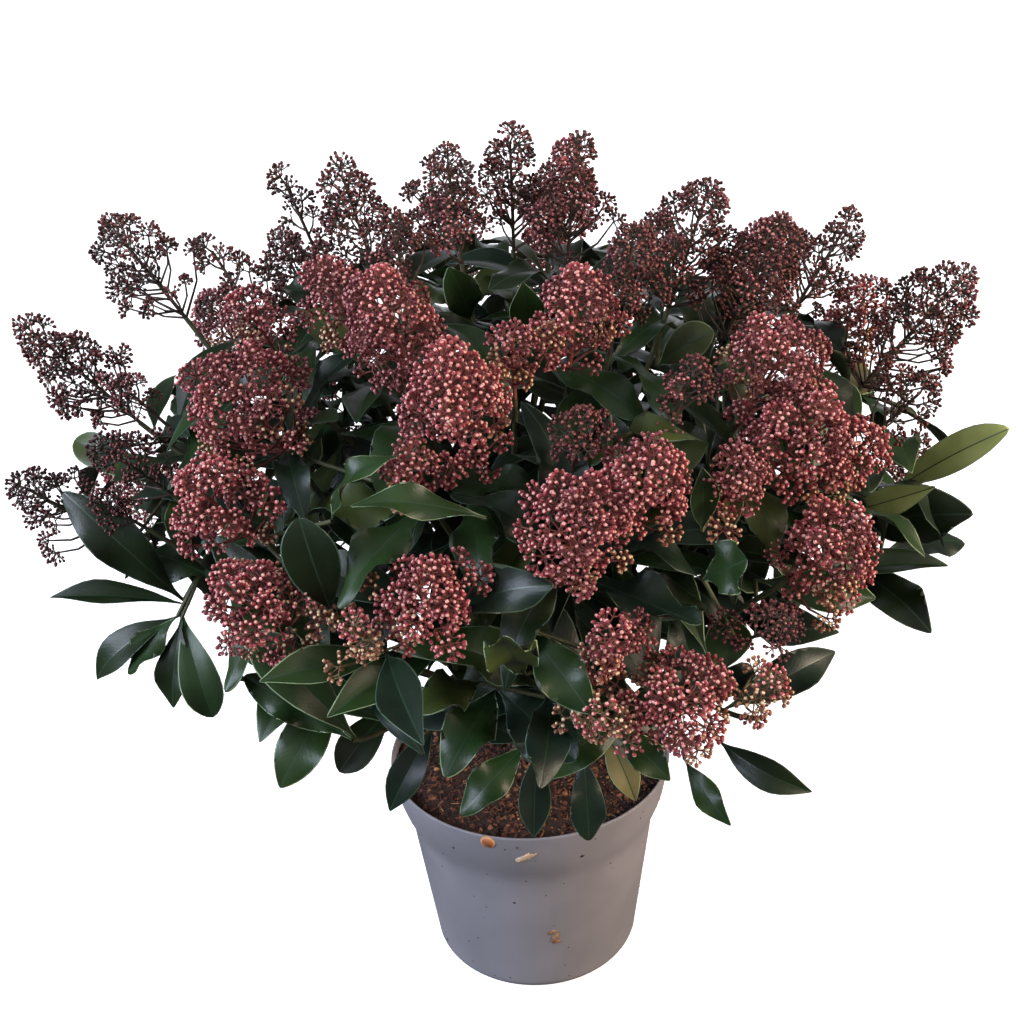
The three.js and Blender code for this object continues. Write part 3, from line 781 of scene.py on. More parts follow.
# A colour of maroon or dark is partly painted shade, for panicles that stand above, behind or in the crown's
# shade; coral is partly painted light.
SHOOTS = {  # (azimuth, lean, distance, panicle radius, panicle length, side panicles, colour)
    "top": [(2, 6, 362, 20, 74, 2, "maroon"), (-178, 4.8, 367, 17, 56, 2, "maroon"),
            (75, 2, 371, 19, 60, 3, "maroon"), (60, 9, 350, 18, 46, 1, "maroon")],
    "top_left": [(-132, 14, 367, 13, 42, 2, "dark"), (174, 14, 362, 23, 72, 2, "maroon"),
                 (-139, 20, 354, 20, 52, 2, "rose"), (-153, 26, 352, 17, 46, 1, "rose")],
    "top_right": [(-54, 17, 353, 18, 66, 2, "maroon"), (-21, 17.5, 364, 27, 64, 3, "maroon"),
                  (-73, 19, 351, 21, 52, 2, "rose")],
    "left_high": [(163, 20.5, 370, 14, 62, 2, "dark"), (-177, 26.5, 361, 15, 60, 2, "dark")],
    "front_high": [(-118, 21.5, 348, 24, 82, 0, "rose"), (-101, 27.5, 338, 25, 82, 1, "coral"),
                   (-90, 23, 347, 13, 38, 1, "rose"), (-106, 33, 332, 13, 34, 3, "rose")],
    "front_middle": [(-82, 38, 322, 27, 52, 2, "coral"), (-71, 36, 327, 23, 54, 1, "coral"),
                     (-80, 31, 334, 14, 38, 1, "maroon")],
    "right_front": [(-40, 31, 344, 26, 58, 2, "rose"), (-43, 37, 336, 27, 54, 2, "coral"),
                    (-57, 38, 328, 16, 40, 2, "rose"), (-58, 29, 341, 13, 36, 2, "maroon"),
                    (-36, 41, 334, 18, 42, 1, "coral")],
    "right_low": [(-46, 47, 317, 25, 50, 2, "coral"), (-58, 51, 303, 15, 38, 2, "maroon")],
    "front_low": [(-71, 55, 288, 26, 48, 2, "coral"), (-61, 56, 289, 18, 42, 1, "cream"),
                  (-81, 55, 284, 13, 36, 2, "cream"), (-79, 48, 300, 14, 38, 2, "rose")],
    "front_left": [(-161, 44, 336, 18, 44, 2, "maroon"), (-142, 32, 344, 29, 60, 3, "rose"),
                   (-137, 41, 330, 23, 52, 3, "coral")],
    "front_low_left": [(-126, 48, 310, 25, 50, 2, "coral"), (-103, 44, 309, 23, 48, 3, "coral"),
                       (-111, 48, 303, 14, 42, 3, "cream")],
    "left": [(-178, 43.5, 380, 23, 78, 2, "maroon"), (-170, 40, 344, 12, 34, 0, "maroon"),
             (176, 33.5, 396, 24, 60, 2, "dark")],
    "left_low": [(-172, 54.5, 348, 20, 50, 3, "dark"), (-162, 49, 326, 11, 24, 0, "maroon")],
    "right": [(0, 41.5, 370, 29, 80, 3, "maroon"), (-20, 42, 346, 16, 40, 1, "dark")],
    "high_right": [(-20, 24, 357, 27, 70, 3, "maroon"), (8, 32, 364, 20, 64, 2, "maroon")],
}
LEAFY_SHOOTS = {  # shoots without buds: (azimuth, lean, distance)
    "front_low": [(-87, 52, 232)],
    "left_front_low": [(-141, 58, 250), (-156, 50, 250)],
    "right_front_low": [(-10, 58, 262), (-27, 51, 254)],
    "front_low_left": [(-119, 60, 228)],
    "right_low": [(-52, 62, 236)],
}
print(f"crown: {len(SPRAYS)} sprays, {sum(map(len, SHOOTS.values()))} shoots with rows of their own")

# %% [markdown]
# Panicles differ in more than size. The ones in full light are dense domes of fat coral buds, and the ones
# above and behind are darker, looser and mostly taller. Their darker colour is partly the buds' own and
# partly painted shade, as the coral of the lit ones is partly painted light. Five looks name these
# differences, and three outlines go with them.

# %% The looks of the panicles
LOOKS = {  # umbel radius, spread, opening, mm2 for each bud, bud diameter, fullness, colours, stalk, outline
    "coral": (9.4, 0.98, 98, 14.5, 2.4, 1.0, {"coral": 8, "rose": 2}, "coral", "dome"),
    "rose": (9.0, 0.97, 96, 14, 2.3, 0.93, {"rose": 7, "coral": 3, "maroon": 1}, "coral", "dome"),
    "cream": (9.2, 0.95, 96, 16, 2.35, 0.75, {"coral": 5, "cream": 4}, "green", "dome"),
    "maroon": (8.6, 0.94, 92, 11.5, 2.15, 0.95, {"maroon": 8, "rose": 3, "dark": 1}, "dusky", "egg"),
    "dark": (8.4, 0.92, 80, 11, 2.1, 0.66, {"dark": 4, "maroon": 6}, "dusky", "lace"),
}
GIRTHS = {  # how wide a panicle is at fifths of its height, from its foot up
    "dome": (0.98, 1.12, 1.06, 1.0, 0.8, 0.25),
    "egg": (0.95, 1.1, 1.0, 0.84, 0.58, 0.2),
    "lace": (1.0, 1.1, 1.05, 0.95, 0.7, 0.2),
}
print(f"panicles: {len(LOOKS)} looks, {len(GIRTHS)} outlines")

# %% [markdown]
# ## Trunk and boughs
#
# Bark is never round and smooth. A curve with a bevel would give a limb in one step, but an evenly round one.
# So a tube is swept along the curve ring by ring, with a radius that tapers, and every point moves in or out
# by a noise that is stretched along the limb.

# %% Sweep a limb
TRUNK = {"height": 36, "foot": 14, "flare": 9, "waist": 9.5, "neck": 8, "lean": 2.5}
BOUGH = {"tip_share": 0.38, "fork_share": 0.48, "radius": 4.4, "side_radius": 3.3, "tip_radius": 2.4}
BOUGH_FEET = (0.5, 0.83)  # how far up the trunk the boughs part from it, in turns
SHOOT = {"radius": 2.4, "side_radius": 2.0, "tip_radius": 1.5, "uplift": 0.22}


def add_tube(shape, curve, radii, sides, steps, roughness):
    """A closed tube along the curve in a bmesh (metres), uneven by `roughness` mm."""
    rings, side = [], None
    for step in range(steps + 1):
        share = step / steps
        centre, axis = curve.at(share), curve.along(share)
        side = side or (Vector((1, 0, 0)) if abs(axis.z) > 0.97 else UP).cross(axis)
        side = (side - axis * side.dot(axis)).normalized()
        other = axis.cross(side)
        radius = radii[0] + (radii[1] - radii[0]) * share
        ring = []
        for corner in range(sides):
            angle = math.tau * corner / sides
            out = side * math.cos(angle) + other * math.sin(angle)
            knobs = roughness * noise.noise(centre * 0.08 + out * 2.2)
            ring.append(shape.verts.new((centre + out * (radius + knobs)) * MM))
        rings.append(ring)
    for low, high in zip(rings, rings[1:]):
        for corner in range(sides):
            after = (corner + 1) % sides
            shape.faces.new((low[corner], low[after], high[after], high[corner]))
    shape.faces.new(reversed(rings[0]))
    shape.faces.new(rings[-1])


def bough_curve(name, parent_curve, tier):
    """A bough from the trunk, or from its parent where it has one, to the place where its spray begins."""
    azimuth, lean, reach = SPRAYS[name][:3]
    axis = heading(azimuth, lean)
    tip = CROWN_FOOT + axis * reach * BOUGH["tip_share"]
    start = heading(azimuth, min(lean + 14, 70))
    root = Vector((TRUNK["lean"] * 0.8, 0, SOIL_TOP + TRUNK["height"] * BOUGH_FEET[tier]))
    root += heading(azimuth, 90) * TRUNK["neck"] * 0.6
    if name == "top":
        root, start = Vector((TRUNK["lean"], 0, SOIL_TOP + TRUNK["height"] - 2)), UP
    if parent_curve:
        start = (parent_curve.along(BOUGH["fork_share"]) + axis).normalized()
        root = parent_curve.at(BOUGH["fork_share"]) + start * BOUGH["radius"]
    return Bend(root, start, tip, axis)


print(f"boughs: {2 * BOUGH['radius']} mm thick at the foot, {2 * BOUGH['tip_radius']} mm at the tip")

# %% [markdown]
# The short trunk is spun like the pot. Flutes at its foot show where the roots go off, and furrows run up it.
# The boughs go into the same bmesh, so that trunk and boughs are one piece of bark.

# %% Raise the trunk and its boughs
trunk_section = [(0, 0)]
for share in (0, 0.25, 0.5, 0.75, 1):
    swell = (TRUNK["foot"] - TRUNK["waist"]) * (1 - share) ** 2
    trunk_section.append((TRUNK["waist"] + swell, TRUNK["flare"] * share))
trunk_section += [(TRUNK["waist"] - 0.5, 16), (TRUNK["waist"] - 1, 24), (TRUNK["neck"], 32)]
trunk_section += [(TRUNK["neck"] * 0.7, TRUNK["height"]), (0, TRUNK["height"] + 0.5)]
limbs = spun(trunk_section, 28)
bmesh.ops.subdivide_edges(limbs, edges=limbs.edges, cuts=1, use_grid_fill=True)
for vert in limbs.verts:
    x, y, z = vert.co / MM
    flutes = 1 + 0.1 * math.cos(5 * math.atan2(y, x) + 1) * max(0, 1 - z / 18)
    furrows = 0.9 * noise.noise((x / 3, y / 3, z / 14)) * (1 if z > 0.1 else 0)
    spread = flutes + furrows / max(6, math.hypot(x, y))
    vert.co = Vector((x * spread + TRUNK["lean"] * z / TRUNK["height"], y * spread, z + SOIL_TOP + 0.3)) * MM

bough_curves = {}
for order, name in enumerate(SPRAYS):
    parent = SPRAYS[name][6]
    bough_curves[name] = bough_curve(name, bough_curves.get(parent), order % 2)
    radius = BOUGH["side_radius"] if parent else BOUGH["radius"]
    add_tube(limbs, bough_curves[name], (radius, BOUGH["tip_radius"]), 10, 14, 0.7)
bark = piece_of("trunk_and_boughs_bark", limbs, [STALK_FINISHES[BARK]])
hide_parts("trunk", *(f"bough_{name}" for name in SPRAYS))
print(f"limbs: {len(bark.data.polygons)} faces")

# %% [markdown]
# ## Leaves
#
# A skimmia leaf is thick leather: widest just past its middle, folded a little along a sunken pale midrib,
# with a thin light line all round its edge, and paler below. Hundreds could be bent one by one with
# modifiers. But a leaf is a formula as well: its width, fold, arch, waves and twist, worked out for any place
# across and along it. Eight sets of these numbers are enough, as each copy is turned and sized differently.

# %% Bend the leaves
STATIONS = (0, 0.05, 0.1, 0.17, 0.25, 0.33, 0.42, 0.51, 0.6, 0.69, 0.77, 0.84, 0.9, 0.95, 0.985, 1)
ROUNDED = (0.06, 0.08, 0.12, 0.25, 0.44, 0.62, 0.79, 0.92, 0.99, 1.0, 0.94, 0.82, 0.65, 0.43, 0.22, 0.0)
POINTED = (0.06, 0.08, 0.13, 0.30, 0.53, 0.73, 0.89, 0.98, 1.0, 0.92, 0.76, 0.57, 0.38, 0.21, 0.09, 0.0)
MARGIN_WIDTH, RIB_WIDTH, BLADE_THICKNESS = 0.0075, 0.0048, 0.006  # shares of the leaf's length
BLADE, EDGE, RIB, BELOW = range(4)
UPPER_COLUMNS, LOWER_COLUMNS = (EDGE, BLADE, BLADE, RIB, BLADE, BLADE, EDGE), (BELOW,) * 4
LEAF_BENDS = [  # width, how pointed, fold, arch, droop of the tip, wave, waves, twist
    dict(width=0.156, point=-0.5, fold=0.30, arch=0.10, droop=0.35, wave=0.06, waves=1.0, twist=0.1),
    dict(width=0.152, point=0.9, fold=0.16, arch=0.07, droop=0.60, wave=0.14, waves=1.5, twist=-0.2),
    dict(width=0.166, point=0.5, fold=0.10, arch=0.12, droop=0.20, wave=0.12, waves=2.0, twist=0.25),
    dict(width=0.142, point=1.0, fold=0.42, arch=0.05, droop=0.10, wave=0.06, waves=1.2, twist=0.0),
    dict(width=0.150, point=0.8, fold=0.22, arch=0.15, droop=0.95, wave=0.19, waves=1.8, twist=0.4),
    dict(width=0.162, point=0.6, fold=0.05, arch=0.08, droop=0.45, wave=0.24, waves=1.7, twist=-0.4),
    dict(width=0.154, point=1.0, fold=0.36, arch=0.17, droop=0.30, wave=0.07, waves=1.0, twist=-0.1),
    dict(width=0.166, point=0.4, fold=0.20, arch=0.03, droop=-0.30, wave=0.22, waves=2.3, twist=0.2),
]


def half_width(bend, along):
    """Half the leaf's width at a share of its length, between a rounded and a pointed outline."""
    rounded, pointed = (float(np.interp(along, STATIONS, outline)) for outline in (ROUNDED, POINTED))
    return bend["width"] * (rounded + (pointed - rounded) * bend["point"])


def leaf_point(across, along, bend, below):
    """A point of the leaf (its length is 1), with `across` from -1 at its left edge to 1 at its right one."""
    half = half_width(bend, along)
    x = across * half
    z = bend["fold"] * abs(x) + 0.16 * half * abs(across) * (1 - abs(across))
    phase = 1.9 if across > 0 else 0
    z += bend["wave"] * half * 3 * across * across * math.sin(math.tau * bend["waves"] * along + phase)
    z -= below * BLADE_THICKNESS * (1 - across ** 4) * min(1, along * 12, (1 - along) * 12)
    swing = bend["twist"] * (along - 0.3)
    x, z = x * math.cos(swing) - z * math.sin(swing), x * math.sin(swing) + z * math.cos(swing)
    z += 4 * bend["arch"] * along * (1 - along) - bend["droop"] * max(0, along - 0.62) ** 2
    return Vector((x, along, z))


print(f"leaves: {len(LEAF_BENDS)} bends, {len(STATIONS)} stations along each")

# %% [markdown]
# Such a leaf is cut as two sheets that share their outline. Their grids have columns where the rib and the
# light line are, so that each of these is a row of faces of its own with a finish of its own.

# %% Cut the leaves


def columns_of(half):
    """Where the upper sheet's columns stand: edge, light line, blade, rib and back again."""
    rim, rib = 1 - min(0.35, MARGIN_WIDTH / max(half, 1e-3)), min(0.3, RIB_WIDTH / max(half, 1e-3))
    return (-1, -rim, -0.5, -rib, rib, 0.5, rim, 1)


def leaf_shape(bend):
    """The leaf as two sheets, the upper and the lower, that share their outline."""
    shape = bmesh.new()
    across_layer, along_layer = shape.verts.layers.float.new("across"), shape.verts.layers.float.new("along")
    rows = len(STATIONS) - 1
    for below, parts in enumerate((UPPER_COLUMNS, LOWER_COLUMNS)):
        columns = len(parts)
        made = bmesh.ops.create_grid(shape, x_segments=columns, y_segments=rows, size=0.5)["verts"]
        faces = {face for vert in made for face in vert.link_faces}
        for face in faces:
            face.material_index = parts[math.floor((face.calc_center_median().x + 0.5) * columns)]
        for vert in made:
            column, row = round((vert.co.x + 0.5) * columns), round((vert.co.y + 0.5) * rows)
            along = STATIONS[row]
            across = column / 2 - 1 if below else columns_of(half_width(bend, along))[column]
            vert[across_layer], vert[along_layer] = (across + 1) / 2, along
            vert.co = leaf_point(across, along, bend, below)
        if below:
            bmesh.ops.reverse_faces(shape, faces=list(faces))
    bmesh.ops.remove_doubles(shape, verts=shape.verts, dist=2e-4)
    return Shape(shape, across_layer, along_layer)


LEAF_SHAPES = [leaf_shape(bend) for bend in LEAF_BENDS]
print(f"leaves: {len(LEAF_SHAPES)} shapes of {len(LEAF_SHAPES[0].faces)} triangles")

# %% [markdown]
# ## Buds
#
# A bud is a small club, hardly 2.5 mm wide, that narrows to its stalk and ends in a paler cap where its
# petals meet; the cap's light colour is partly the bud's own and partly a painted highlight. There are tens
# of thousands of them, so a bud is spun like the pot, but in five steps and from four points. That gives
# twenty triangles, and smooth shading makes them look round at this size.

# %% Turn one bud
BUD_SECTION = [(0, 0.0), (0.5, 0.5), (0.4, 1.03), (0, 1.23)]  # for a diameter of 1
BUD_SIDES = 5


def bud_shape():
    """A bud of diameter 1 that stands on the origin with its tip up; finish 0 is its body and 1 its cap."""
    shape = spun(BUD_SECTION, BUD_SIDES, scale=1)
    # The cap above the widest ring gets the pale tip finish, partly the bud's own colour and partly a painted
    # highlight.
    for face in shape.faces:
        face.material_index = int(face.calc_center_median().z > 1)
    return Shape(shape)


BUD = bud_shape()
STALK = rod(3, 0.75)
print(f"bud: {len(BUD.faces)} triangles, stalk: {len(STALK.faces)} triangles")

# %% [markdown]
# ## Panicles
#
# A panicle is branched three times. Rays leave its main stalk and end in umbels; from the middle of an umbel
# small stalks spread like spokes over a dome, and each of them carries a handful of buds. Where umbels run
# into each other, the buds that would be inside a neighbour are left out, as they are on the plant.

# %% Spread directions over a dome


def spread_round(axis, count, opening, turn):
    """Directions that are spread evenly over a cap round the axis; `opening` is its half angle."""
    k = np.arange(count) + 0.5
    rise = 1 - k / count * (1 - math.cos(math.radians(opening)))
    angle = math.radians(GOLDEN_ANGLE) * k + turn
    side = beside(axis)
    other = np.cross(axis, side)
    flat = np.sqrt(1 - rise ** 2)[:, None]
    return rise[:, None] * axis + flat * (np.cos(angle)[:, None] * side + np.sin(angle)[:, None] * other)


print(f"a dome of 7 spokes rises to {spread_round(np.array((0, 0, 1.0)), 7, 90, 0)[0, 2]:.2f} of its radius")

# %% [markdown]
# The panicle is planned from its top down: first the places of all its umbels, tier by tier, then their
# spokes and buds. It keeps everything as plain lists, because leaves have to know how much room it takes
# before anything is made.

# %% Grow a panicle
FREE_STALK = 14  # from the highest leaves to a panicle's foot
CYME = {"buds": (4, 5, 5), "mean": 4.6, "opening": 66}  # the handful of buds at the end of each spoke
PANICLE_ROOM = {"above": 22, "below": 4, "beside": 1}  # how far leaves keep from a panicle


class Panicle:
    """The stalks and buds of one panicle, as plain lists that are copied into the heaps later."""

    def __init__(self, node, axis, radius, length, sides, colour, seed):
        self.dice = random.Random(seed)
        umbel_radius, self.spread, self.opening, self.bud_area, self.bud_size = LOOKS[colour][:5]
        self.fullness, self.colours, self.stalk_tone, outline = LOOKS[colour][5:]
        self.umbel_radius = min(umbel_radius, radius * 0.6, length * 0.3)
        self.colour, self.girths = colour, GIRTHS[outline]
        self.node, self.axis, self.radius, self.length = np.array(node), np.array(axis), radius, length
        self.sticks, self.buds, self.umbels = [], [], []
        self.side = beside(self.axis)
        self.other = np.cross(self.axis, self.side)
        self.foot = self.node + self.axis * FREE_STALK
        self.plan_umbels()
        self.plan_side_panicles(sides)
        for umbel in self.umbels:
            self.grow_umbel(*umbel)

    def plan_umbels(self):
        """Umbels in tiers round the stalk, from the top one down, fewer and looser towards the foot."""
        u = self.umbel_radius
        turn, height = self.dice.uniform(0, math.tau), self.length - u * 0.8
        self.sticks.append((self.node - self.axis * 2, self.foot + self.axis * (height - u * 0.4), 1.35))
        self.add_umbel(turn, self.dice.uniform(0, u * 0.3), height, u * 0.95)
        height -= u * 0.75
        while height > -u * 0.2:
            share = max(0.0, height / self.length)
            girth = self.radius * float(np.interp(share * 5, range(6), self.girths))
            ring = max(u * 0.7, girth - u * 0.85)
            count = max(3, round(math.tau * ring / (u * 1.62)))
            here = self.fullness * min(1, 0.46 + 1.2 * share)
            for i in range(count):
                if self.dice.random() > here:
                    continue
                angle = turn + math.tau * (i + self.dice.uniform(-0.24, 0.24)) / count
                away = ring * self.dice.uniform(0.74, 1.24)
                rise = self.dice.uniform(-0.42, 0.42) * u
                size = u * self.spread * self.dice.uniform(0.76, 1.1) * min(1, 0.58 + 0.8 * share)
                self.add_umbel(angle, away, height + rise, size, max(0, 0.9 - 1.4 * share))
            turn += 0.9
            height -= u * 1.3

    def plan_side_panicles(self, sides):
        """Small ones that stand off from the foot on long stalks of their own."""
        turn = self.dice.uniform(0, math.tau)
        for i in range(sides):
            away = self.radius * self.dice.uniform(0.8, 1.1) + 4
            height = self.dice.uniform(0.1, 0.45) * self.length
            radius = self.dice.uniform(6.5, 8.5)
            angle = turn + math.radians(GOLDEN_ANGLE) * i
            self.add_umbel(angle, away, height, radius, 0.4, True)
            if self.dice.random() < 0.6:
                self.add_umbel(angle + 0.35, away * 0.85, height + 9, radius * 0.8, 0.4, True)

    def add_umbel(self, angle, away, height, radius, loose=0.0, aside=False):
        """One umbel; `loose`, from 0 to 0.9, thins it out, and one that is `aside` has its own long stalk."""
        out = self.side * math.cos(angle) + self.other * math.sin(angle)
        hub = self.foot + out * away + self.axis * height
        fork = self.foot + self.axis * max(1 - FREE_STALK, height - away * (0.95 if aside else 0.7) - 3)
        facing = unit(out * (0.5 + away * 0.03) + self.axis) if away > 1 else self.axis
        self.umbels.append((hub, fork, facing, radius, loose, aside))

    def grow_umbel(self, hub, fork, facing, radius, loose, aside):
        """The umbel's spokes, each with a cyme of buds, and its ray, unless its neighbours hide all of it."""
        hidden = [(other[0], other[3]) for other in self.umbels if other[0] is not hub]
        opening = self.opening + (14 if aside else 0)
        area = math.tau * radius ** 2 * (1 - math.cos(math.radians(opening)))
        cymes = max(4, round(area / (self.bud_area * (1 + loose)) / CYME["mean"]))
        tone = self.dice.choices(list(self.colours), list(self.colours.values()))[0]
        if loose > 0.25 and self.colour in ("coral", "cream", "rose") and self.dice.random() < 0.3:
            tone = "cream"
        grown = 0
        for spoke in spread_round(facing, cymes, opening, self.dice.uniform(0, math.tau)):
            spoke = unit(spoke + np.array([self.dice.uniform(-0.18, 0.18) for _ in range(3)]))
            joint = hub + spoke * radius * self.dice.uniform(0.42, 0.56)
            count, turn = self.dice.choice(CYME["buds"]), self.dice.uniform(0, math.tau)
            tips = []
            for direction in spread_round(spoke, count, CYME["opening"], turn):
                tip = joint + direction * radius * self.dice.uniform(0.38, 0.54)
                if all(np.linalg.norm(tip - middle) > size * 0.86 for middle, size in hidden):
                    tips.append((tip, direction))
            if not tips:
                continue
            grown += len(tips)
            self.sticks.append((hub, joint, 0.55))
            for tip, direction in tips:
                self.sticks.append((joint, tip, 0.42))
                size = self.bud_size * self.dice.uniform(0.8, 1.12)
                self.buds.append((tip, unit(direction + spoke * 0.4), size, tone))
        if grown:
            ray = hub - fork
            elbow = fork + ray * 0.55 + (unit(ray) - self.axis) * np.linalg.norm(ray) * 0.13
            self.sticks += [(fork, elbow, 1.05 if aside else 0.85), (elbow, hub, 0.75)]

    def fill(self, twigs, buds):
        """Copies the stalks into one heap and the buds into the other."""
        starts, ends, widths = (np.array(part) for part in zip(*self.sticks))
        stalk_tone = list(STALK_TONES).index(self.stalk_tone)
        twigs.add(STALK, standing(starts, ends - starts, widths), np.full((len(starts), 1), stalk_tone))
        tips, directions, sizes, tones = zip(*self.buds)
        sizes = np.array(sizes)
        axes = np.array(directions) * sizes[:, None]
        matrices = standing(np.array(tips) - axes * 0.2, axes, sizes)
        rows = [2 * list(BUD_TONES).index(tone) for tone in tones]
        buds.add(BUD, matrices, [(row, row + 1) for row in rows])

    def holds(self, points):
        """Whether any of the points is inside the panicle or hangs close over it."""
        arms = points - (self.foot + self.axis * self.length / 2)
        along = arms @ self.axis
        away = np.linalg.norm(arms - along[:, None] * self.axis, axis=1)
        reach = self.length / 2 + np.where(along > 0, PANICLE_ROOM["above"], PANICLE_ROOM["below"])
        girth = self.radius + PANICLE_ROOM["beside"]
        return bool(np.any((along / reach) ** 2 + (away / girth) ** 2 < 1))


sample = Panicle((0, 0, 0), (0, 0, 1), 20, 60, 2, "rose", 1)
print(f"a rose panicle of 40 by 60 mm: {len(sample.umbels)} umbels, {len(sample.buds)} buds")

# %% [markdown]
# ## Shoots
#
# All shoots of a spray part from the stem that goes on from its bough. A shoot turns up towards the light at
# its end, where its panicle stands on the highest whorl of leaves. It could be drawn by hand, but the curve
# that laid out the boughs needs only its two ends and its two directions, and a table row gives them.

# %% Lay out the shoots


def seed_of(order, number):
    """The seed of a shoot, from its spray's place in the table and its own number."""
    return 100 * order + 10 * number + 1


class Twig:
    """One shoot: its curve, the direction of its end, its seed and, unless it is leafy, its panicle."""

    def __init__(self, spray, order, number, place, panicle):
        azimuth, lean, reach = SPRAYS[spray][:3]
        axis = heading(azimuth, lean)
        foot = CROWN_FOOT + axis * (reach * BOUGH["tip_share"] - 2)
        self.seed = seed_of(order, number)
        towards = heading(*place[:2])
        self.end = (towards + UP * SHOOT["uplift"] * (1 - towards.z)).normalized()
        stop = CROWN_FOOT + towards * place[2]
        self.panicle = None
        if panicle:
            radius, length, sides, colour = panicle
            stop -= self.end * (length / 2 + FREE_STALK + 2)
            self.panicle = Panicle(stop, self.end, radius, length, sides, colour, self.seed)
        start = foot if number == 0 else foot + (stop - foot) * 0.06 * number
        self.curve = Bend(start, axis if number == 0 else (axis + towards).normalized(), stop, self.end)
        self.radii = (SHOOT["side_radius"] if number else SHOOT["radius"], SHOOT["tip_radius"])


def twigs_of(spray, order):
    """All shoots of a spray: from their rows where it has rows, otherwise fanned out round its direction."""
    azimuth, lean, reach, count, fan, turn, _ = SPRAYS[spray]
    rows = SHOOTS.get(spray)
    places = []
    if rows:
        places = [(row[:3], row[3:]) for row in rows]
    elif spray not in LEAFY_SHOOTS:
        for i in range(count):
            seed = seed_of(order, i)
            towards = tilted(heading(azimuth, lean), fan, turn + i * 360 / count)
            at = (math.degrees(math.atan2(towards.y, towards.x)), math.degrees(math.acos(towards.z)),
                  reach + 14 * (chance(seed) - 0.5))
            # These sprays stand behind the crown, so their panicles get the darker looks, partly as painted
            # shade.
            look = ("maroon", "dark", "rose")[int(3 * chance(seed + 3))]
            places.append((at, (20 + 8 * chance(seed + 1), 52 + 18 * chance(seed + 2), 2, look)))
    places += [(row, None) for row in LEAFY_SHOOTS.get(spray, [])]
    return [Twig(spray, order, i, *place) for i, place in enumerate(places)]


crown = {name: twigs_of(name, order) for order, name in enumerate(SPRAYS)}
panicles = [twig.panicle for twigs in crown.values() for twig in twigs if twig.panicle]
print(f"shoots: {sum(len(twigs) for twigs in crown.values())}, panicles: {len(panicles)}, "
      f"buds: {sum(len(panicle.buds) for panicle in panicles)}")

# %% [markdown]
# ## Leaves on the shoots
#
# Leaves sit in loose whorls, each a golden angle on from the last, and open wider the older they are. They
# leave some places free: the soil in front, the bare stalks at the top, and a few gaps that daylight falls
# through. These habits of the whole crown come first.

# %% Where leaves may be
LEAF = {
    "length": 82, "whorls": (5, 5, 3, 2), "open_whorls": (2, 2, 1, 0), "openings": (54, 70, 84, 96),
    "step": 34, "spacing": 4.5,
}
OPEN_SPRAYS = ("left_low", "left_front_low", "front_low_left", "front_low", "right_low", "right_front_low")
LEAF_TRIES = [  # how far a leaf is turned and opened further, and how much shorter it is, from try to try
    (0, 0, 1), (18, -8, 1), (-18, -8, 1), (0, 14, 1), (0, -16, 1), (36, -8, 0.95), (-36, -8, 0.95),
    (0, 26, 0.9), (56, 4, 0.9), (-56, 4, 0.9), (24, 30, 0.85), (-24, 30, 0.85), (90, 10, 0.8), (0, -30, 0.75),
]
LEAF_CLEARANCE = 7.0
CROWN_OF_LEAVES = 334  # from the crown's foot: the heads stand above this on bare stalks
# How low the leaves hang at these distances from the middle, and how much higher where soil shows in front.
UNDERSIDE_OF_CROWN = (70, 110, 150, 190, 230, 290), (196, 204, 222, 246, 270, 308)
OPEN_FRONT = {"from": -40, "lift": 26}
# Where daylight shows through the crown: round these places it is free of leaves.
OPEN_PLACES = [((-215, -115, 368), 36), ((-195, -128, 318), 42), ((150, -172, 318), 46)]
print(f"shoot: up to {sum(LEAF['whorls'])} leaves in {len(LEAF['whorls'])} whorls")

# %% [markdown]
# Some leaves stand out one by one, at the edge of the crown or over the pot. No rule would put them just
# there, so each has a row: its spray, its root and its tip, its width, and how it is bent, rolled and toned.

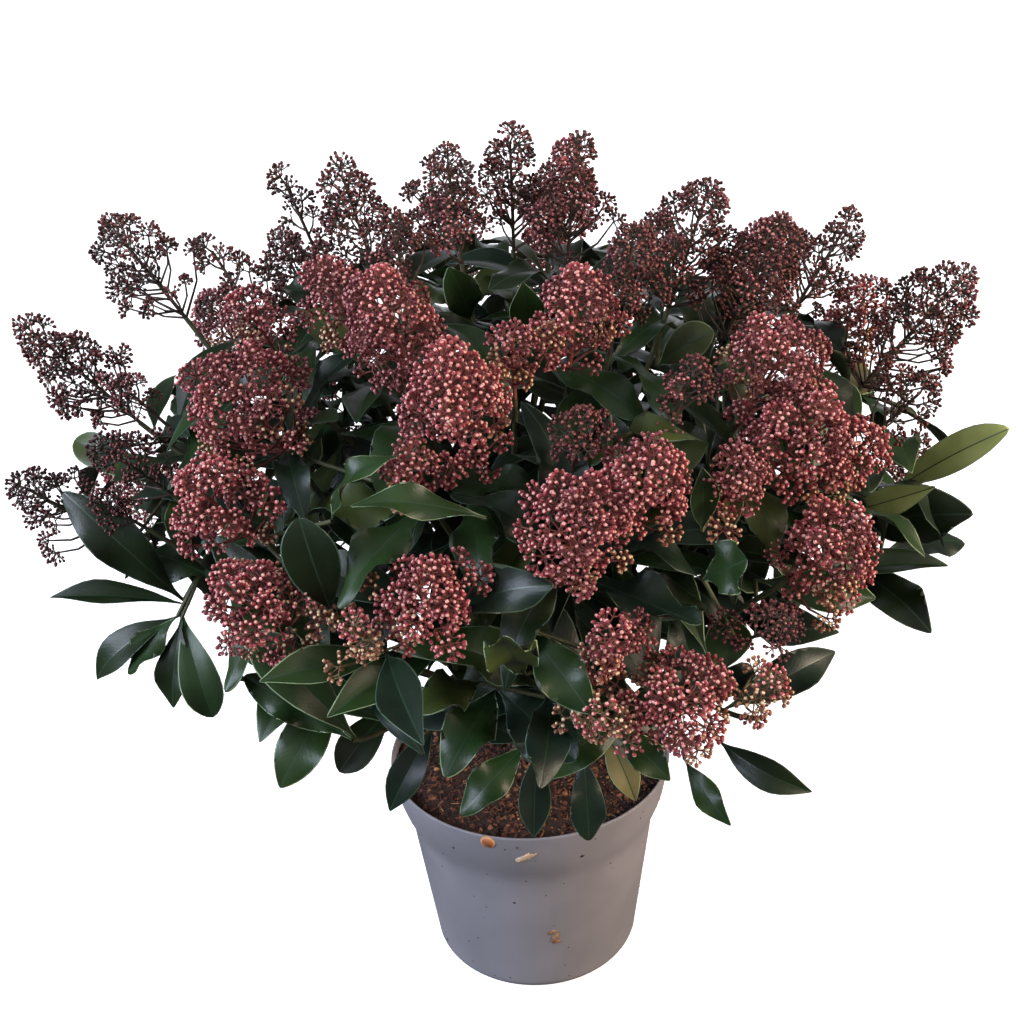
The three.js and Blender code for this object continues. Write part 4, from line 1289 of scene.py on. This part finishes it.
# %% Leaves with places of their own
KNOWN_LEAVES = [  # leaves that stand out one by one: spray, root and tip (mm), width, shape, roll, tone
    ("right_front_low", (228, -25, 350), (274, -74, 411), 21, 0, 0, "yellowing"),
    ("right_front_low", (191, -70, 361), (226, -112, 396), 17, 3, 25, "yellowing"),
    ("right_front_low", (214, -10, 318), (265, -60, 351), 37, 2, 0, "deep"),
    ("right_front_low", (202, -60, 315), (228, -120, 312), 29, 1, 0, "deep"),
    ("right_front_low", (123, -90, 309), (174, -130, 317), 24, 6, 20, "deep"),
    ("right_low", (129, -120, 347), (195, -130, 338), 24, 1, 10, "middle"),
    ("left_low", (-199, -70, 318), (-278, -74, 330), 17, 3, 30, "deep"),
    ("left_low", (-204, -70, 311), (-260, -78, 274), 22, 6, 10, "deep"),
    ("left_low", (-204, -66, 311), (-186, -106, 262), 23, 0, 0, "middle"),
    ("left_low", (-205, -74, 313), (-236, -92, 286), 19, 5, 10, "middle"),
    ("left_low", (-203, -74, 311), (-212, -96, 262), 21, 1, 0, "deep"),
    ("left_low", (-202, -66, 319), (-262, -62, 392), 29, 2, 0, "deep"),
    ("left_low", (-227, 40, 340), (-290, 60, 371), 22, 0, 0, "olive"),
    ("left_front_low", (-110, -110, 280), (-142, -155, 246), 28, 2, 0, "middle"),
    ("left_front_low", (-130, -110, 293), (-149, -155, 280), 22, 1, 0, "middle"),
    ("left_front_low", (-78, -100, 264), (-110, -138, 243), 22, 0, 0, "deep"),
    ("front_low_left", (-55, -95, 244), (-86, -120, 198), 21, 6, 0, "bluish"),
    ("front_low", (-17, -160, 310), (-43, -218, 298), 28, 5, 0, "middle"),
    ("front_low", (-16, -170, 317), (24, -212, 297), 34, 7, 0, "bluish"),
    ("front_low", (-1, -115, 241), (-42, -144, 212), 23, 5, 0, "middle"),
    ("front_low", (4, -100, 228), (0, -118, 172), 20, 3, 0, "bluish"),
    ("front_low", (32, -98, 224), (34, -112, 162), 22, 2, 0, "bluish"),
    ("front_low", (43, -112, 250), (61, -136, 210), 18, 6, 0, "tawny"),
    ("front_low", (-25, -175, 324), (-55, -212, 334), 24, 5, 10, "olive"),
    ("front_low", (1, -200, 371), (30, -238, 346), 26, 5, 0, "middle"),
    ("front_low", (-1, -212, 352), (-11, -248, 400), 26, 7, -30, "olive"),
    ("front_low", (49, -150, 273), (76, -176, 256), 20, 1, 0, "middle"),
    ("right_low", (92, -110, 220), (114, -146, 198), 16, 1, 20, "middle"),
    ("right_low", (112, -108, 232), (162, -142, 216), 20, 6, 25, "deep"),
    ("right_low", (107, -160, 316), (104, -180, 360), 24, 0, 0, "middle"),
    ("right_low", (91, -186, 387), (110, -208, 410), 28, 7, 0, "middle"),
    ("right_front", (93, -160, 400), (92, -166, 440), 16, 3, 15, "middle"),
    ("right_front", (110, -150, 393), (107, -156, 434), 14, 3, -15, "tawny"),
    ("front_left", (-93, -178, 425), (-62, -186, 465), 15, 4, -35, "middle"),
    ("front_left", (-16, -196, 432), (-78, -210, 452), 17, 1, 20, "middle"),
    ("front_left", (-98, -178, 372), (-107, -192, 433), 27, 0, 0, "deep"),
    ("top_right", (10, -52, 470), (7, -70, 508), 20, 3, 0, "middle"),
    ("top_right", (80, -60, 452), (108, -76, 478), 21, 0, 0, "olive"),
    ("top_left", (-24, -10, 466), (-33, -34, 506), 22, 2, 0, "middle"),
]
print(f"leaves in known places: {len(KNOWN_LEAVES)}")

# %% [markdown]
# Real leaves push each other aside. A simulation of that would be slow and hard to steer. Here the foliage
# remembers a few sample points of every leaf, and says of a new one whether it is clear of them, of the
# panicles and of the places that stay open.

# %% Keep the leaves apart
SAMPLES = [(across, along) for along in (0.3, 0.45, 0.6, 0.75, 0.9) for across in (-0.8, 0, 0.8)] + [(0, 1)]
MIDDLE_SAMPLE = SAMPLES.index((0, 0.6))
MOST_LEAVES = 2000


def leaf_matrix(root, out, facing, length, roll):
    """The matrix that lays a leaf out from its root, its upper side towards `facing` and then rolled."""
    upper = (facing - out * facing.dot(out)).normalized()
    side = out.cross(upper)
    rolled_upper = upper * math.cos(roll) + side * math.sin(roll)
    rolled_side = side * math.cos(roll) - upper * math.sin(roll)
    directions = [np.array(direction) * length for direction in (rolled_side, out, rolled_upper)]
    return np.column_stack([*directions, root])


class Foliage:
    """All leaves placed so far: where they are, and the samples that later leaves keep away from."""

    def __init__(self):
        self.leaves = {name: [] for name in SPRAYS}
        self.samples = np.empty((MOST_LEAVES * len(SAMPLES), 3))
        self.filled = 0

    def has_room(self, points, length):
        """Whether a leaf with these samples is clear of the open places, the panicles and other leaves."""
        away = np.hypot(points[:, 0], points[:, 1])
        lift = np.where(points[:, 1] < OPEN_FRONT["from"], OPEN_FRONT["lift"], 0)
        if np.any(points[:, 2] < np.interp(away, *UNDERSIDE_OF_CROWN) + lift):
            return False
        if np.any(np.linalg.norm(points - np.array(CROWN_FOOT), axis=1) > CROWN_OF_LEAVES):
            return False
        if any(np.any(np.linalg.norm(points - place, axis=1) < radius) for place, radius in OPEN_PLACES):
            return False
        if any(panicle.holds(points) for panicle in panicles):
            return False
        taken = self.samples[:self.filled]
        near = taken[np.linalg.norm(taken - points[MIDDLE_SAMPLE], axis=1) < length]
        return not len(near) or np.min(np.linalg.norm(near[:, None] - points[None], axis=2)) >= LEAF_CLEARANCE

    def place(self, spray, kind, matrix, tones):
        """Takes the leaf in and keeps its samples in mind."""
        points = samples_of(kind, matrix)
        self.samples[self.filled:self.filled + len(points)] = points
        self.filled += len(points)
        self.leaves[spray].append((kind, matrix, tones))


def samples_of(kind, matrix):
    """Where the samples of a leaf of this shape come to lie under its matrix."""
    return SAMPLE_POINTS[kind] @ matrix[:, :3].T + matrix[:, 3]


SAMPLE_POINTS = [np.array([leaf_point(a, b, bend, 0) for a, b in SAMPLES]) for bend in LEAF_BENDS]
foliage = Foliage()
print(f"foliage: {len(SAMPLES)} samples a leaf")

# %% [markdown]
# Now the leaves are set: first the known ones, then all whorls from the youngest to the oldest. A leaf tries
# a few turns and openings until there is room for it, and if none of them fits, it is left out.

# %% Set the leaves
TONE_WEIGHTS = {  # in the order of LEAF_TONES
    "low": (5, 4, 7, 2, 0, 0.2),
    "high": (6, 3, 5, 1.4, 0, 0.1),
    "inner": (9, 5, 1, 0, 0, 0),
}


def tones_of(dice, place):
    """The numbers of a leaf's four finishes: blade, edge, midrib and underside."""
    tone = dice.choices(range(len(LEAF_TONES)), TONE_WEIGHTS[place])[0]
    return (tone, LIGHT_MARGIN if tone > 1 and place == "low" else DARK_MARGIN, MIDRIB, UNDERSIDE)


def set_leaves(spray, twig, whorl):
    """One whorl of leaves on a shoot, from its end downwards."""
    dice = random.Random(twig.seed * 7 + whorl)
    place = "low" if twig.end.z < 0.8 else "high" if whorl < 2 else "inner"
    count = LEAF["open_whorls" if spray in OPEN_SPRAYS else "whorls"][whorl]
    for i in range(count):
        below = whorl * LEAF["step"] + i * LEAF["spacing"]
        share = 1 - below / twig.curve.length
        if share < 0.12:
            continue
        root, axis = twig.curve.at(share), twig.curve.along(share)
        length = LEAF["length"] * dice.uniform(0.84, 1.1)
        kind = dice.randrange(len(LEAF_SHAPES))
        roll = dice.uniform(-0.3, 0.3)
        tones = tones_of(dice, place)
        for turned, opened, shortened in LEAF_TRIES:
            turn = (whorl * 5 + i) * GOLDEN_ANGLE + 360 * chance(twig.seed + 2) + turned
            out = tilted(axis, LEAF["openings"][whorl] + 3 * i + opened, turn)
            out = (out - UP * 0.1 * whorl).normalized()
            matrix = leaf_matrix(root, out, axis * 0.6 + UP * 0.4, length * shortened, roll)
            if foliage.has_room(samples_of(kind, matrix), length * shortened):
                foliage.place(spray, kind, matrix, tones)
                break


def set_known_leaf(spray, root, tip, width, kind, roll, tone):
    """A leaf in its known place, on a short side twig from the nearest shoot of its spray."""
    root, tip = Vector(root), Vector(tip)
    length, out = (tip - root).length, (tip - root).normalized()
    matrix = leaf_matrix(root, out, Vector((0, -0.75, 0.65)), length, math.radians(roll))
    matrix[:, 0] *= width / length / (2 * LEAF_BENDS[kind]["width"])
    margin = DARK_MARGIN if tone in ("deep", "bluish") else LIGHT_MARGIN
    foliage.place(spray, kind, matrix, (list(LEAF_TONES).index(tone), margin, MIDRIB, UNDERSIDE))
    places = [twig.curve.at(step / 12) for twig in crown[spray] for step in range(2, 13)]
    side_twigs[spray].append((min(places, key=lambda place: (place - root).length - 0.2 * place.z), root))


side_twigs = {name: [] for name in SPRAYS}
for row in KNOWN_LEAVES:
    set_known_leaf(*row)
for whorl in range(len(LEAF["whorls"])):
    for name, twigs in crown.items():
        for twig in twigs:
            set_leaves(name, twig, whorl)
print(f"leaves set: {sum(len(leaves) for leaves in foliage.leaves.values())}")

# %% [markdown]
# ## Join the crown
#
# Thousands of separate objects would be slow to draw and hard to handle. The copies are joined by kind
# (twigs, leaves and buds), spray after spray. A piece that has become heavy is closed, and a new one begun.

# %% Join twigs, leaves and buds
HEAVY = 144_000  # triangles
SHOOT_STEPS, SIDE_TWIG_RADIUS = 10, 1.2
SHOOT_LENGTH = rod(7, 0.97)
OVERLAP = 1.06  # each length of a shoot reaches a little into the next one


def fill_twigs(name, heap):
    """The shoots themselves, as short tapering lengths between points of their curves, and the side twigs."""
    for twig in crown[name]:
        places = [twig.curve.at(step / SHOOT_STEPS) for step in range(SHOOT_STEPS + 1)]
        thick, thin = twig.radii
        widths = [thick + (thin - thick) * step / SHOOT_STEPS for step in range(SHOOT_STEPS)]
        starts = np.array(places[:-1])
        heap.add(SHOOT_LENGTH, standing(starts, (np.array(places[1:]) - starts) * OVERLAP, widths),
                 np.full((SHOOT_STEPS, 1), YOUNG_SHOOT))
    for start, stop in side_twigs[name]:
        heap.add(SHOOT_LENGTH, standing([start], [stop - start], SIDE_TWIG_RADIUS), [[YOUNG_SHOOT]])


def fill_leaves(name, heap):
    """All leaves of the spray, shape by shape."""
    for kind, shape in enumerate(LEAF_SHAPES):
        rows = [leaf for leaf in foliage.leaves[name] if leaf[0] == kind]
        if rows:
            heap.add(shape, np.array([row[1] for row in rows]), [row[2] for row in rows])


def fill_buds(name, heap, twigs):
    """The buds of the spray's panicles, and their stalks among the twigs."""
    for twig in crown[name]:
        if twig.panicle:
            twig.panicle.fill(twigs, heap)


def close_piece(kind, number, heap, names, finishes):
    """The heap as one piece, which takes the place of the sprays that went into it."""
    mesh = heap.mesh(f"{kind}_{number}")
    piece = settle(f"{kind}_{number}", mesh, finishes)
    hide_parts(*(f"spray_{name}" for name in names))
    print(f"{piece.name}: {heap.triangles} triangles, {len(names)} sprays")


def join_crown():
    """Goes through the sprays and closes a piece when it is heavy, or at the last spray."""
    finishes = {"twigs": STALK_FINISHES, "leaves": LEAF_FINISHES, "buds": BUD_FINISHES}
    heaps = {kind: (Heap(), []) for kind in finishes}
    numbers = dict.fromkeys(finishes, 1)
    last = list(SPRAYS)[-1]
    for name in SPRAYS:
        for heap, names in heaps.values():
            names.append(name)
        fill_twigs(name, heaps["twigs"][0])
        fill_leaves(name, heaps["leaves"][0])
        fill_buds(name, heaps["buds"][0], heaps["twigs"][0])
        for kind, (heap, names) in list(heaps.items()):
            if heap.triangles > HEAVY or name == last:
                close_piece(kind, numbers[kind], heap, names, finishes[kind])
                heaps[kind] = (Heap(), [])
                numbers[kind] += 1


join_crown()

# %% [markdown]
# ## Size
#
# The finished plant has to keep the size of the frame, so its box is measured and printed.

# %% Measure and finish
low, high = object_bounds()
print(f"plant: {[round(side / MM) for side in high - low]} mm")
